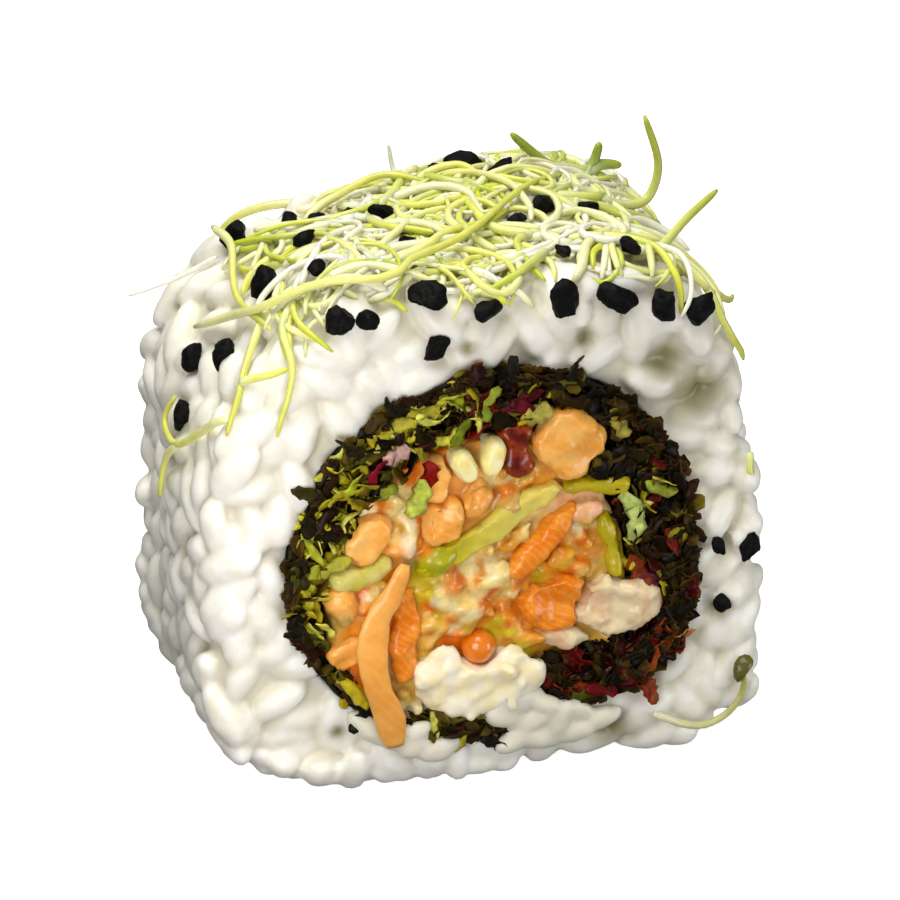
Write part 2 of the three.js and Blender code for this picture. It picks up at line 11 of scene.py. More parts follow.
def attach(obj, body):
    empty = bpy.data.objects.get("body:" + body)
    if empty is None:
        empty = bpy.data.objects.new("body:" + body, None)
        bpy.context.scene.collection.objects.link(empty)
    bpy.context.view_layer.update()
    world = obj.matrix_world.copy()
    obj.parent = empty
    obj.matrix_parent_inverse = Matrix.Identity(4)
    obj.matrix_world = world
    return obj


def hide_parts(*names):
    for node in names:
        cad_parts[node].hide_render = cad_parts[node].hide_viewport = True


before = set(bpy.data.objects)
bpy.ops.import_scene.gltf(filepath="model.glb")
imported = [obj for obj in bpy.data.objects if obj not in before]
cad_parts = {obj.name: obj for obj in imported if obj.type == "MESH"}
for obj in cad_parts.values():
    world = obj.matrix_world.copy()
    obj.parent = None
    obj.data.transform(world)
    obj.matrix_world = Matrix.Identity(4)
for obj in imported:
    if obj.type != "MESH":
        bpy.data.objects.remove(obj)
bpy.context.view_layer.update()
MM = 0.001

# The roll's driving sizes, as its solids have them
WIDTH = 44.5
HEIGHT = 41.0
LENGTH = 25.0
TOP_CORNER = 15.0
BASE_CORNER = 8.0
CUT_ROUNDING = 2.5
LUMP = 0.3
BORE = {"x": -0.2, "z": 18.8, "rx": 16.2, "rz": 15.6}
CORE = {"x": -1.1, "z": 16.0, "rx": 12.2, "rz": 12.9}
SEAWEED_OUT = 0.05
SEAWEED_THICKNESS = 0.3
LINING = 0.5

HALF = LENGTH / 2
ROUND_START = HALF - CUT_ROUNDING
FACE_START = ROUND_START + CUT_ROUNDING * math.pi / 2
TOP_FLAT = WIDTH / 2 - TOP_CORNER
TOP_ARC = TOP_CORNER * math.pi / 2
SIDE_FLAT = HEIGHT - TOP_CORNER - BASE_CORNER
BASE_ARC = BASE_CORNER * math.pi / 2
BASE_FLAT = WIDTH / 2 - BASE_CORNER
AROUND = 2 * (TOP_FLAT + TOP_ARC + SIDE_FLAT + BASE_ARC + BASE_FLAT)

# Cooked short-grain rice
GRAIN_LENGTH = 5.8
GRAIN_WIDTH = 2.7
GRAIN_THICKNESS = 2.2

# How fine the skins are that close round heaps of grains, round the larger pieces and round chopped bits
RICE_VOXEL = 0.26
CHUNK_VOXEL = 0.24
BIT_VOXEL = 0.25

# A wave texture's pitch times its scale
WAVE = 0.63


class Dice:
    """A repeatable draw."""

    def __init__(self, seed):
        self.state = seed

    def __call__(self, low=0.0, high=1.0):
        self.state = self.state * 16807 % 2147483647
        return low + (high - low) * self.state / 2147483647

    def pick(self, choices):
        return choices[int(self() * len(choices)) % len(choices)]


def linear(hexa):
    """An sRGB hex colour as linear red, green, blue and alpha."""
    channels = [int(hexa[i : i + 2], 16) / 255 for i in (1, 3, 5)]
    return [c / 12.92 if c <= 0.04045 else ((c + 0.055) / 1.055) ** 2.4 for c in channels] + [1.0]


# Shapes


def outline(u):
    """The roll's outline u round from the middle of its top: x, z and the outward normal there."""
    side = -1 if u < 0 else 1
    rest = abs(u)
    if rest < TOP_FLAT:
        x, z, nx, nz = rest, HEIGHT, 0.0, 1.0
    elif rest < TOP_FLAT + TOP_ARC:
        turn = (rest - TOP_FLAT) / TOP_CORNER
        nx, nz = math.sin(turn), math.cos(turn)
        x, z = TOP_FLAT + TOP_CORNER * nx, HEIGHT - TOP_CORNER + TOP_CORNER * nz
    elif rest < TOP_FLAT + TOP_ARC + SIDE_FLAT:
        x, z, nx, nz = WIDTH / 2, HEIGHT - TOP_CORNER - (rest - TOP_FLAT - TOP_ARC), 1.0, 0.0
    elif rest < TOP_FLAT + TOP_ARC + SIDE_FLAT + BASE_ARC:
        turn = (rest - TOP_FLAT - TOP_ARC - SIDE_FLAT) / BASE_CORNER
        nx, nz = math.cos(turn), -math.sin(turn)
        x, z = BASE_FLAT + BASE_CORNER * nx, BASE_CORNER + BASE_CORNER * nz
    else:
        x, z, nx, nz = max(0.0, AROUND / 2 - rest), 0.0, 0.0, -1.0
    return side * x, z, side * nx, nz


def lump(u, v, z, turn):
    """How far hand pressing has left the skin proud or low there. The underside and the cuts stay flat."""
    around = 2 * math.pi * u / AROUND
    wave = math.sin(3 * around + 0.8) + math.sin(7 * around + v / 6) + math.sin(5 * around - v / 4 + 2)
    return LUMP * wave * min(1.0, z / 5) * (1 - turn / (math.pi / 2))


# Places where the skin is pressed in: u, v, how wide and how deep
DENTS = [
    (28.0, -11.0, 7.0, 1.7), (-27.0, 11.0, 9.0, 0.3), (-42.0, 10.0, 9.0, 0.9), (-7.0, 13.0, 8.0, 1.4),
    (-57.0, -11.0, 6.0, 1.3), (46.5, -6.0, 5.5, 1.5),
]


def dent(u, v):
    """How far the skin is pressed in there."""
    depth = 0.0
    for at_u, at_v, wide, deep in DENTS:
        depth += deep * math.exp(-((u - at_u) ** 2 + (v - at_v) ** 2) / wide**2)
    return depth


def skin(u, v, h=0.0):
    """The point h above the roll's skin, its normal, and the direction round the outline there.

    v runs along the roll from its middle, over the rounded cut edge and inwards on the cut face.
    """
    x, z, nx, nz = outline(u)
    end = -1 if v < 0 else 1
    turn = min(max((abs(v) - ROUND_START) / CUT_ROUNDING, 0.0), math.pi / 2)
    inwards = max(abs(v) - FACE_START, 0.0) + CUT_ROUNDING
    normal = np.array([nx * math.cos(turn), end * math.sin(turn), nz * math.cos(turn)])
    middle = np.array([x - nx * inwards, end * min(abs(v), ROUND_START), z - nz * inwards])
    point = middle + normal * (CUT_ROUNDING + h + lump(u, v, z, turn) - dent(u, v))
    return point, normal, np.array([nz, 0.0, -nx])


def unit(vector):
    return vector / max(np.linalg.norm(vector), 1e-9)


def ellipse_share(section, x, z, grow=0.0):
    """Below 1 inside the section's ellipse, and above 1 outside it."""
    across = (x - section["x"]) / (section["rx"] + grow)
    up = (z - section["z"]) / (section["rz"] + grow)
    return math.hypot(across, up)


def ellipse_point(section, turn, share=1.0, grow=0.0):
    """x and z at a share of the way out to the section's ellipse, turn round from its right."""
    x = section["x"] + (section["rx"] + grow) * share * math.cos(turn)
    z = section["z"] + (section["rz"] + grow) * share * math.sin(turn)
    return x, z


def on_cut(angle, depth=0.0):
    """The direction across the cut at angle from +X. depth leans it along the roll."""
    return np.array([math.cos(angle), depth, math.sin(angle)])


def sideways(heading, depth=0.0):
    """The direction on the cut a quarter turn on from heading."""
    return np.array([-heading[2], depth, heading[0]])


def ball(detail):
    """A ball of radius 1, as points and faces."""
    made = bmesh.new()
    bmesh.ops.create_icosphere(made, subdivisions=detail, radius=1)
    points = np.array([v.co for v in made.verts])
    faces = [[v.index for v in f.verts] for f in made.faces]
    made.free()
    return points, faces


def chip(draw, shape, cuts=5, near=0.45, far=0.8):
    """A ball shape cut flat on a few sides, for small things that are neither round nor alike."""
    points = shape.copy()
    for _ in range(cuts):
        way = unit(np.array([draw(-1, 1), draw(-1, 1), draw(-1, 1)]))
        past = np.maximum(points @ way - draw(near, far), 0)
        points -= past[:, None] * way
    return points


def placed(points, at, axis, normal, size):
    """points stretched to size and set down at a place, their x along axis and their z towards normal."""
    axis = unit(axis)
    side = unit(np.cross(normal, axis))
    basis = np.array([axis, side, np.cross(axis, side)])
    return at + (points * np.array(size)) @ basis


def smooth_path(knots, count):
    """count points on one smooth curve through the knots, evenly spread."""
    knots = np.asarray(knots, float)
    padded = np.vstack([2 * knots[0] - knots[1], knots, 2 * knots[-1] - knots[-2]])
    dense = []
    for a, b, c, d in zip(padded, padded[1:], padded[2:], padded[3:]):
        squared = 2 * a - 5 * b + 4 * c - d
        cubed = 3 * b - a - 3 * c + d
        for t in np.linspace(0, 1, 12, endpoint=False):
            dense.append(0.5 * (2 * b + (c - a) * t + squared * t**2 + cubed * t**3))
    dense = np.array(dense + [knots[-1]])
    run = np.concatenate([[0], np.cumsum(np.linalg.norm(np.diff(dense, axis=0), axis=1))])
    places = np.linspace(0, run[-1], count)
    return np.stack([np.interp(places, run, dense[:, k]) for k in range(dense.shape[1])], axis=1)


def ring_faces(rings, count, closed=False):
    """The faces of rings of count points each, joined one to the next."""
    faces = []
    for r in range(rings if closed else rings - 1):
        here, there = r * count, ((r + 1) % rings) * count
        for k in range(count):
            after = (k + 1) % count
            faces.append([here + k, here + after, there + after, there + k])
    return faces


def tube(path, wide, thick, across, sides=8, twist=0.0):
    """A closed tube along path whose section is wide by thick, as half sizes, and lies along across."""
    path = np.asarray(path, float)
    count = len(path)
    along = np.gradient(path, axis=0)
    turns = np.linspace(0, 2 * math.pi, sides, endpoint=False)[:, None]
    across = np.asarray(across, float)
    rows = []
    for i in range(count):
        heading = unit(along[i])
        across = unit(across - heading * (across @ heading))
        up = np.cross(heading, across)
        lean = twist * i / (count - 1)
        a = math.cos(lean) * across + math.sin(lean) * up
        b = np.cross(heading, a)
        rows.append(path[i] + wide[i] * np.cos(turns) * a + thick[i] * np.sin(turns) * b)
    last = (count - 1) * sides
    faces = ring_faces(count, sides)
    faces.append(list(range(sides - 1, -1, -1)))
    faces.append(list(range(last, last + sides)))
    return np.vstack(rows), faces


def rounded(count, full, tip=0.35):
    """Half sizes along a piece with rounded ends."""
    share = np.linspace(0, 1, count)
    edge = np.minimum(share, 1 - share) * 6
    return full * (tip + (1 - tip) * np.sqrt(1 - (1 - np.minimum(edge, 1)) ** 2))


WHITE = (1, 1, 1, 1)
BLACK = (0, 0, 0, 1)


class Heap:
    """Gathers many small shapes, in millimetres, into one mesh with a tint at each point."""

    def __init__(self):
        self.points = []
        self.faces = []
        self.tints = []
        self.count = 0

    def add(self, points, faces, tint=WHITE):
        """tint is one colour, or one for each point. A material that doesn't read it needs none."""
        self.points.append(points)
        self.faces.extend([[k + self.count for k in face] for face in faces])
        self.tints.append(np.broadcast_to(np.asarray(tint, float), (len(points), 4)))
        self.count += len(points)

    def fused(self, voxel, soften, keep=1.0):
        """One closed skin round all of it, as remeshed gives it."""
        return remeshed(np.vstack(self.points), self.faces, voxel, soften, keep)

    def piece(self, name, material, slot, nodes):
        tints = np.vstack(self.tints)
        return piece(name, np.vstack(self.points), self.faces, material, slot, nodes, tint=tints)


def remeshed(points, faces, voxel, soften, keep=1.0):
    """One closed skin round shapes that run into each other: its points, normals and faces.

    keep is the share of its triangles that stay, most of them where it bends most.
    """
    mesh = bpy.data.meshes.new("source")
    mesh.from_pydata(np.asarray(points) * MM, [], faces)
    holder = bpy.data.objects.new("source", mesh)
    bpy.context.scene.collection.objects.link(holder)
    remesh = holder.modifiers.new("remesh", "REMESH")
    remesh.mode = "VOXEL"
    remesh.voxel_size = voxel * MM
    softening = holder.modifiers.new("soften", "SMOOTH")
    softening.factor = 0.5
    softening.iterations = soften
    if keep < 1:
        holder.modifiers.new("thin out", "DECIMATE").ratio = keep
    made = holder.evaluated_get(bpy.context.evaluated_depsgraph_get()).to_mesh()
    co = np.empty(len(made.vertices) * 3)
    made.vertices.foreach_get("co", co)
    normals = np.empty(len(made.vertices) * 3)
    made.vertices.foreach_get("normal", normals)
    found = [list(p.vertices) for p in made.polygons]
    bpy.data.objects.remove(holder)
    bpy.data.meshes.remove(mesh)
    return co.reshape(-1, 3) / MM, normals.reshape(-1, 3), found


def relief(points, normals, waves):
    """points moved along their normals by soft noise. waves lists height, length and a shift of each."""
    moved = points.copy()
    for height, length, shift in waves:
        offset = Vector((shift, -shift, 2 * shift))
        lift = np.array([noise.noise(Vector(p) / length + offset) for p in points])
        moved += normals * (height * lift)[:, None]
    return moved


def nearest_of(places):
    """A search tree of places."""
    tree = KDTree(len(places))
    for k, at in enumerate(places):
        tree.insert(Vector(at), k)
    tree.balance()
    return tree


def solid(node):
    """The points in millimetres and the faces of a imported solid."""
    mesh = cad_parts[node].data
    return np.array([v.co for v in mesh.vertices]) / MM, [list(p.vertices) for p in mesh.polygons]


def piece(name, points, faces, material, slot, nodes, **values):
    """A finished piece that rides on the roll and stands for the solids named in nodes.

    values are numbers or colours at its points, which its material reads by name.
    """
    mesh = bpy.data.meshes.new(name)
    mesh.from_pydata(np.asarray(points) * MM, [], faces)
    mesh.shade_smooth()
    for key, value in values.items():
        kind, field = ("FLOAT_COLOR", "color") if np.ndim(value) == 2 else ("FLOAT", "value")
        attribute = mesh.attributes.new(key, kind, "POINT")
        attribute.data.foreach_set(field, np.asarray(value, np.float32).ravel())
    mesh.materials.append(material)
    made = bpy.data.objects.new(name, mesh)
    bpy.context.scene.collection.objects.link(made)
    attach(made, "root")
    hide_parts(*nodes)
    return made


# Materials


def put(tree, kind, inputs=None, **settings):
    """Adds one node. settings are its own, and inputs are values, or sockets to link, by name or number."""
    node = tree.nodes.new("ShaderNode" + kind)
    for key, value in settings.items():
        setattr(node, key, value)
    for key, value in (inputs or {}).items():
        if isinstance(value, bpy.types.NodeSocket):
            tree.links.new(value, node.inputs[key])
        else:
            node.inputs[key].default_value = value
    return node


def blank(name):
    """A material with nothing in it yet, and its node tree."""
    material = bpy.data.materials.new(name)
    material.use_nodes = True
    material.node_tree.nodes.clear()
    return material, material.node_tree


# Numbers of a Mix node's sockets when it mixes colours
FACTOR, FIRST, SECOND, RESULT = 0, 6, 7, 2
# The finest relief of cut food that shows, in millimetres, and the refraction of its wet surface
FIBRE = 0.5
WET_FOOD_IOR = 1.42


def spotted(tree, where, base, accent, size_mm, low, high):
    """base, a colour or a socket, with soft spots of accent about size_mm wide.

    low and high are the noise values from which and to which the accent comes in.
    """
    grain = put(tree, "TexNoise", {"Vector": where, "Scale": 1 / (size_mm * MM), "Detail": 3.0})
    share = put(tree, "MapRange", {"Value": grain.outputs["Fac"], "From Min": low, "From Max": high})
    inputs = {FACTOR: share.outputs["Result"], FIRST: base, SECOND: linear(accent)}
    return put(tree, "Mix", inputs, data_type="RGBA").outputs[RESULT]


def flesh(name, colour, accent, spot_mm, streak=None, far_end=None, surface=None):
    """Cut moist food: soft spots of a second colour, thin pale streaks, and another colour to its far end.

    streak is a colour and a pitch. far_end is a colour and the x from which and to which it comes in. Light
    goes a little way into it, and its wet film gives small sharp highlights. surface is what differs there.
    """
    material, tree = blank(name)
    where = put(tree, "TexCoord").outputs["Object"]
    base = spotted(tree, where, linear(colour), accent, spot_mm, 0.4, 0.62)
    if streak:
        hexa, pitch_mm = streak
        scale = WAVE / (pitch_mm * MM)
        bands = {"Vector": where, "Scale": scale, "Distortion": 7.0, "Detail": 2.0, "Detail Scale": 0.5}
        lines = put(tree, "TexWave", bands, bands_direction="DIAGONAL").outputs["Fac"]
        thin = put(tree, "MapRange", {"Value": lines, "From Min": 0.6, "From Max": 1.0, "To Max": 0.16})
        inputs = {FACTOR: thin.outputs["Result"], FIRST: base, SECOND: linear(hexa)}
        base = put(tree, "Mix", inputs, data_type="RGBA").outputs[RESULT]
    if far_end:
        hexa, first_mm, last_mm = far_end
        across = put(tree, "SeparateXYZ", {"Vector": where}).outputs["X"]
        share = put(tree, "MapRange", {"Value": across, "From Min": first_mm * MM, "From Max": last_mm * MM})
        inputs = {FACTOR: share.outputs["Result"], FIRST: base, SECOND: linear(hexa)}
        base = put(tree, "Mix", inputs, data_type="RGBA").outputs[RESULT]
    fine = put(tree, "TexNoise", {"Vector": where, "Scale": 1 / (FIBRE * MM), "Detail": 4.0})
    bump = put(tree, "Bump", {"Height": fine.outputs["Fac"], "Strength": 0.4, "Distance": 0.14 * MM})
    looks = {
        "Roughness": 0.3,
        "Subsurface Weight": 0.35,
        "Subsurface Radius": (1.0, 0.6, 0.3),
        "Subsurface Scale": 0.9 * MM,
        "Coat Weight": 0.35,
        "Coat Roughness": 0.12,
        "Specular IOR Level": 0.3,
        "IOR": WET_FOOD_IOR,
        **(surface or {}),
    }
    shader = put(tree, "BsdfPrincipled", {"Base Color": base, "Normal": bump.outputs["Normal"], **looks})
    put(tree, "OutputMaterial", {"Surface": shader.outputs["BSDF"]})
    return material


def tinted(name, light_share, spot_mm, surface):
    """Food chopped small: each bit has its own tint, with lighter and darker spots in it."""
    material, tree = blank(name)
    where = put(tree, "TexCoord").outputs["Object"]
    tint = put(tree, "Attribute", attribute_name="tint").outputs["Color"]
    grain = put(tree, "TexNoise", {"Vector": where, "Scale": 1 / (spot_mm * MM), "Detail": 3.0})
    span = {"From Min": 0.3, "From Max": 0.75, "To Min": 1 - light_share, "To Max": 1 + light_share}
    value = put(tree, "MapRange", {"Value": grain.outputs["Fac"], **span})
    base = put(tree, "HueSaturation", {"Color": tint, "Value": value.outputs["Result"]}).outputs["Color"]
    fine = put(tree, "TexNoise", {"Vector": where, "Scale": 1 / (0.45 * MM), "Detail": 4.0})
    bump = put(tree, "Bump", {"Height": fine.outputs["Fac"], "Strength": 0.3, "Distance": 0.1 * MM})
    looks = {
        "Roughness": 0.36,
        "Specular IOR Level": 0.3,
        "Subsurface Weight": 0.25,
        "Subsurface Radius": (1.0, 0.7, 0.35),
        "Subsurface Scale": 0.9 * MM,
        "Coat Weight": 0.4,
        "Coat Roughness": 0.15,
        "IOR": WET_FOOD_IOR,
        **surface,
    }
    shader = put(tree, "BsdfPrincipled", {"Base Color": base, "Normal": bump.outputs["Normal"], **looks})
    put(tree, "OutputMaterial", {"Surface": shader.outputs["BSDF"]})
    return material


def cooked_rice():
    """Steamed short-grain rice: milky white and translucent, each grain of its own tone.

    A sticky film of starch gives it broad soft highlights. It has painted shade where it lies deep between
    grains, and a darker olive painted shade in the pressed-in hollows.
    """
    material, tree = blank("cooked_rice")
    where = put(tree, "TexCoord").outputs["Object"]
    tone = put(tree, "Attribute", attribute_name="tone").outputs["Fac"]
    crevice_shade = put(tree, "Attribute", attribute_name="crevice_shade").outputs["Fac"]
    hollow_shade = put(tree, "Attribute", attribute_name="hollow_shade").outputs["Fac"]
    inputs = {FACTOR: tone, FIRST: linear("#f4f1e4"), SECOND: linear("#ebe8d6")}
    grains = put(tree, "Mix", inputs, data_type="RGBA").outputs[RESULT]
    cloudy = spotted(tree, where, grains, "#faf8f0", 1.6, 0.45, 0.75)
    # Painted shade: greyer where the rice lies deep between grains
    inputs = {FACTOR: crevice_shade, FIRST: cloudy, SECOND: linear("#dcd7bf")}
    shaded = put(tree, "Mix", inputs, data_type="RGBA").outputs[RESULT]
    # Painted shade: olive grey in the pressed-in hollows of the front rim
    inputs = {FACTOR: hollow_shade, FIRST: shaded, SECOND: linear("#8c8456")}
    base = put(tree, "Mix", inputs, data_type="RGBA").outputs[RESULT]
    fine = put(tree, "TexNoise", {"Vector": where, "Scale": 1 / (0.6 * MM), "Detail": 3.0})
    bump = put(tree, "Bump", {"Height": fine.outputs["Fac"], "Strength": 0.25, "Distance": 0.1 * MM})
    looks = {
        "Roughness": 0.42,
        "Subsurface Weight": 0.6,
        "Subsurface Radius": (1.0, 0.85, 0.6),
        "Subsurface Scale": 1.6 * MM,
        "Coat Weight": 0.25,
        "Coat Roughness": 0.25,
        "IOR": 1.4,
    }
    shader = put(tree, "BsdfPrincipled", {"Base Color": base, "Normal": bump.outputs["Normal"], **looks})
    put(tree, "OutputMaterial", {"Surface": shader.outputs["BSDF"]})
    return material


def dried_seaweed():
    """Seaweed pressed into a sheet, roasted, and softened by the rice: nearly black and finely wrinkled."""
    material, tree = blank("dried_seaweed")
    where = put(tree, "TexCoord").outputs["Object"]
    base = spotted(tree, where, linear("#090904"), "#181a08", 0.9, 0.4, 0.7)
    inputs = {"Vector": where, "Scale": 1 / (0.7 * MM), "Detail": 6.0, "Distortion": 0.6}
    fibres = put(tree, "TexNoise", inputs)
    bump = put(tree, "Bump", {"Height": fibres.outputs["Fac"], "Strength": 0.6, "Distance": 0.15 * MM})
    looks = {"Roughness": 0.5, "Specular IOR Level": 0.25}
    shader = put(tree, "BsdfPrincipled", {"Base Color": base, "Normal": bump.outputs["Normal"], **looks})
    put(tree, "OutputMaterial", {"Surface": shader.outputs["BSDF"]})
    return material


def seed_husk():
    """The dry coat of a leek seed that its sprout has pushed off: black, papery and wrinkled."""
    material, tree = blank("seed_husk")
    where = put(tree, "TexCoord").outputs["Object"]
    base = spotted(tree, where, linear("#030303"), "#12100e", 0.5, 0.5, 0.85)
    wrinkles = put(tree, "TexVoronoi", {"Vector": where, "Scale": 1 / (0.4 * MM)}, feature="SMOOTH_F1")
    bump = put(tree, "Bump", {"Height": wrinkles.outputs["Distance"], "Strength": 0.7, "Distance": 0.15 * MM})
    looks = {"Roughness": 0.6, "Specular IOR Level": 0.12}
    shader = put(tree, "BsdfPrincipled", {"Base Color": base, "Normal": bump.outputs["Normal"], **looks})
    put(tree, "OutputMaterial", {"Surface": shader.outputs["BSDF"]})
    return material


def salmon(name, colour, accent):
    """Raw salmon, cut by knife: soft orange meat, paler where it is fatty, with very thin pale lines."""
    return flesh(name, colour, accent, 1.6, streak=("#f6cc88", 0.8))


PALETTE = {
    # Salmon from three parts of the fish: wet, so it shines in small sharp spots
    "salmon": salmon("salmon_flesh", "#f0a23c", "#f4b85e"),
    "salmon_deep": salmon("salmon_flesh_deep", "#e67c02", "#ee9624"),
    "salmon_pale": salmon("salmon_flesh_pale", "#f8ac48", "#f8bc66"),
    # Ripe avocado cut in strips: buttery and dull, green near its skin and cream near its stone
    "avocado": flesh(
        "avocado_flesh", "#beae06", "#b0a404", 1.4, far_end=("#dccc60", -4.0, 1.5),
        surface={"Coat Weight": 0.2},
    ),
    "avocado_pale": flesh("avocado_flesh_pale", "#d6cc78", "#c2b848", 1.6, surface={"Coat Weight": 0.3}),
    "avocado_lime": flesh("avocado_skin_side", "#c2b01a", "#a89c08", 1.6, surface={"Coat Weight": 0.3}),
    # Carrot shaved with a peeler: smooth and moist, with faint lines along its grain
    "carrot": flesh("shaved_carrot", "#efac50", "#e49c40", 2.2, streak=("#f0b872", 1.1)),
    # Red pepper, cooked soft: dark, with a glossy skin
    "pepper": flesh("red_pepper", "#5a0802", "#a03c08", 1.3, surface={"Coat Weight": 0.4}),
    # Burgundy lettuce, raw: nearly black where it folds, with a weak waxy sheen
    "burgundy": flesh(
        "burgundy_leaf", "#160202", "#4c0a0a", 1.2, surface={"Coat Weight": 0.2, "Specular IOR Level": 0.2}
    ),
    # Shelled seeds: smooth cream
    "kernel": flesh("shelled_kernel", "#f4e28e", "#faf0bc", 1.5),
    # Salmon roe: a taut wet skin, so its highlight is the sharpest
    "roe": flesh("roe", "#e07404", "#e8861a", 1.5, surface={"Coat Weight": 0.9}),
    # Cooked prawn: pinkish cream with paler bands across its muscle
    "prawn": flesh("cooked_prawn", "#e8d6aa", "#dcb68a", 1.8, streak=("#f4e8cc", 1.4)),
    # Cream cheese, spread: matt and even
    "cheese": tinted("cream_cheese", 0.07, 1.2, {"Coat Weight": 0.3, "Roughness": 0.4}),
    # Salmon, avocado and cream, chopped together: moist, in many small colours that run into each other
    "mash": tinted("chopped_salmon_mix", 0.2, 0.9, {"Coat Weight": 0.5}),
    # Salad leaves, chopped and pressed: damp rather than wet, mottled, nearly without highlights
    "leaf": tinted(
        "chopped_leaf", 0.5, 0.8, {"Coat Weight": 0.04, "Roughness": 0.45, "Specular IOR Level": 0.1}
    ),
    # Fresh sprouts: juicy stems that let light through
    "stem": tinted("leek_stem", 0.1, 1.6, {"Subsurface Weight": 0.45, "Roughness": 0.35}),
    "rice": cooked_rice(),
    "seaweed": dried_seaweed(),
    "husk": seed_husk(),
}


# Rice

GRAIN_HALF = np.array([GRAIN_LENGTH, GRAIN_WIDTH, GRAIN_THICKNESS]) / 2
GRAIN_TRIES = 9000
# A grain is tested at its middle and at this share of its length to either side.
BEAD = 0.28
# Two layers of grains: how deep they are sunk in the skin, and how close their beads may come
LAYERS = [(0.6, 1.5), (0.8, 1.1)]
CORE_SINK = 0.85
# How far below the pressed rice a point lies when its painted crevice shade is full
CREVICE_SHADE_DEPTH = 0.7


def grain_shape():
    """One cooked grain lying on its flatter side: plump, a little bent, and thinner at one end."""
    points, faces = ball(3)
    shape = points.copy()
    shape[:, 1] *= 1 - 0.14 * points[:, 0]
    shape[:, 2] = shape[:, 2] * (1 - 0.1 * points[:, 0]) - 0.16 * points[:, 0] ** 2
    shape[:, 1] += 0.1 * points[:, 0] ** 2
    return shape, faces


def grain_places(draw, sink, clearance, taken):
    """Grains strewn over the skin and both cuts, each kept only where it doesn't press far into another."""
    deep = FACE_START + (WIDTH / 2 - CUT_ROUNDING - BORE["rx"])
    places = []
    for _ in range(GRAIN_TRIES):
        u = draw(-AROUND / 2, AROUND / 2)
        v = draw(-deep - 1, deep + 1)
        spin = draw(0, math.pi)
        at_cut = abs(v) > FACE_START - 1
        at, normal, round_way = skin(u, v, -sink - (0.3 if at_cut else 0.0) + draw(-0.2, 0.2))
        if at_cut and ellipse_share(BORE, at[0], at[2], 0.3) < 1:
            continue
        axis = math.cos(spin) * round_way + math.sin(spin) * np.cross(normal, round_way)
        reach = axis * GRAIN_LENGTH * BEAD
        beads = np.array([at - reach, at, at + reach])
        if len(taken):
            gaps = np.linalg.norm(taken[None] - beads[:, None], axis=2)
            if gaps.min() < clearance:
                continue
        taken = np.vstack([taken, beads])
        places.append((at, axis + normal * draw(-0.2, 0.2), normal, draw(0.88, 1.1)))
    return places, taken


def rice_core(h):
    """The pressed rice under the grains: rings round the skin, which end at the bore."""
    around, along = 132, 22
    stations = np.linspace(-FACE_START, FACE_START, along)
    columns = []
    for k in range(around):
        u = AROUND * (k / around - 0.5)
        column = [skin(u, v, h)[0] for v in stations]
        turn = math.atan2((column[0][2] - BORE["z"]) / BORE["rz"], (column[0][0] - BORE["x"]) / BORE["rx"])
        x, z = ellipse_point(BORE, turn)
        for y in (HALF + h, -HALF - h):
            column.append(np.array([x, y, z]))
        columns.append(np.array(column))
    faces = [face[::-1] for face in ring_faces(around, along + 2, closed=True)]
    return np.vstack(columns), faces


# Hollows in the front rim where the rice is torn, each darkened with painted shade, as x, z and how wide
HOLLOWS = [
    (16.6, 30.2, 2.4), (13.6, 33.4, 1.6), (-2.2, 36.6, 0.7), (7.0, 36.2, 0.8), (-12.6, 5.6, 0.7),
    (18.4, 11.8, 0.8), (9.6, 2.6, 1.6),
]
HOLLOW_DEPTH = 0.4


def rice():
    """The coat: grains in two layers on pressed rice, run into each other where they stick."""
    draw = Dice(2203)
    shape, shape_faces = grain_shape()
    grains = []
    taken = np.empty((0, 3))
    for sink, clearance in LAYERS:
        layer, taken = grain_places(draw, sink, clearance, taken)
        grains += layer
    heap = Heap()
    heap.add(*rice_core(-CORE_SINK))
    centres = []
    for at, axis, normal, size in grains:
        heap.add(placed(shape, at, axis, normal, size * GRAIN_HALF), shape_faces)
        centres.extend([at - unit(axis) * 1.6, at, at + unit(axis) * 1.6])
    points, normals, faces = heap.fused(RICE_VOXEL, 2, 0.5)
    points = relief(points, normals, [(0.12, 1.3, 3)])
    # Grains stop at the seaweed and are pressed flat underneath.
    for p in points:
        share = ellipse_share(BORE, p[0], p[2])
        if share < 1:
            p[0] = BORE["x"] + (p[0] - BORE["x"]) / share
            p[2] = BORE["z"] + (p[2] - BORE["z"]) / share
    points[:, 2] = np.maximum(points[:, 2], 0.0)
    # Each hollow is pushed in, and painted shade is laid in it, strongest at its middle
    hollow_shade = np.zeros(len(points))
    for x, z, wide in HOLLOWS:
        front = points[:, 1] < -ROUND_START
        near = np.exp(-((points[:, 0] - x) ** 2 + (points[:, 2] - z) ** 2) / wide**2) * front
        points[:, 1] += HOLLOW_DEPTH * near
        hollow_shade = np.maximum(hollow_shade, near)
    tree = nearest_of(centres)
    tones = [draw() for _ in grains]
    tone = [tones[tree.find(Vector(p))[1] // 3] for p in points]
    core_points, core_faces = rice_core(0.0)
    core = BVHTree.FromPolygons([Vector(p) for p in core_points], core_faces)
    # Painted shade between the grains, darker the deeper a point lies below the pressed rice
    crevice_shade = []
    for p in points:
        near, normal, _, away = core.find_nearest(Vector(p))
        height = away if (Vector(p) - near).dot(normal) > 0 else -away
        crevice_shade.append(min(1.0, max(0.0, (-0.05 - height) / CREVICE_SHADE_DEPTH)))
    looks = {"tone": tone, "crevice_shade": crevice_shade, "hollow_shade": hollow_shade}
    return piece("rice_coat", points, faces, PALETTE["rice"], "rice", ["rice"], **looks)


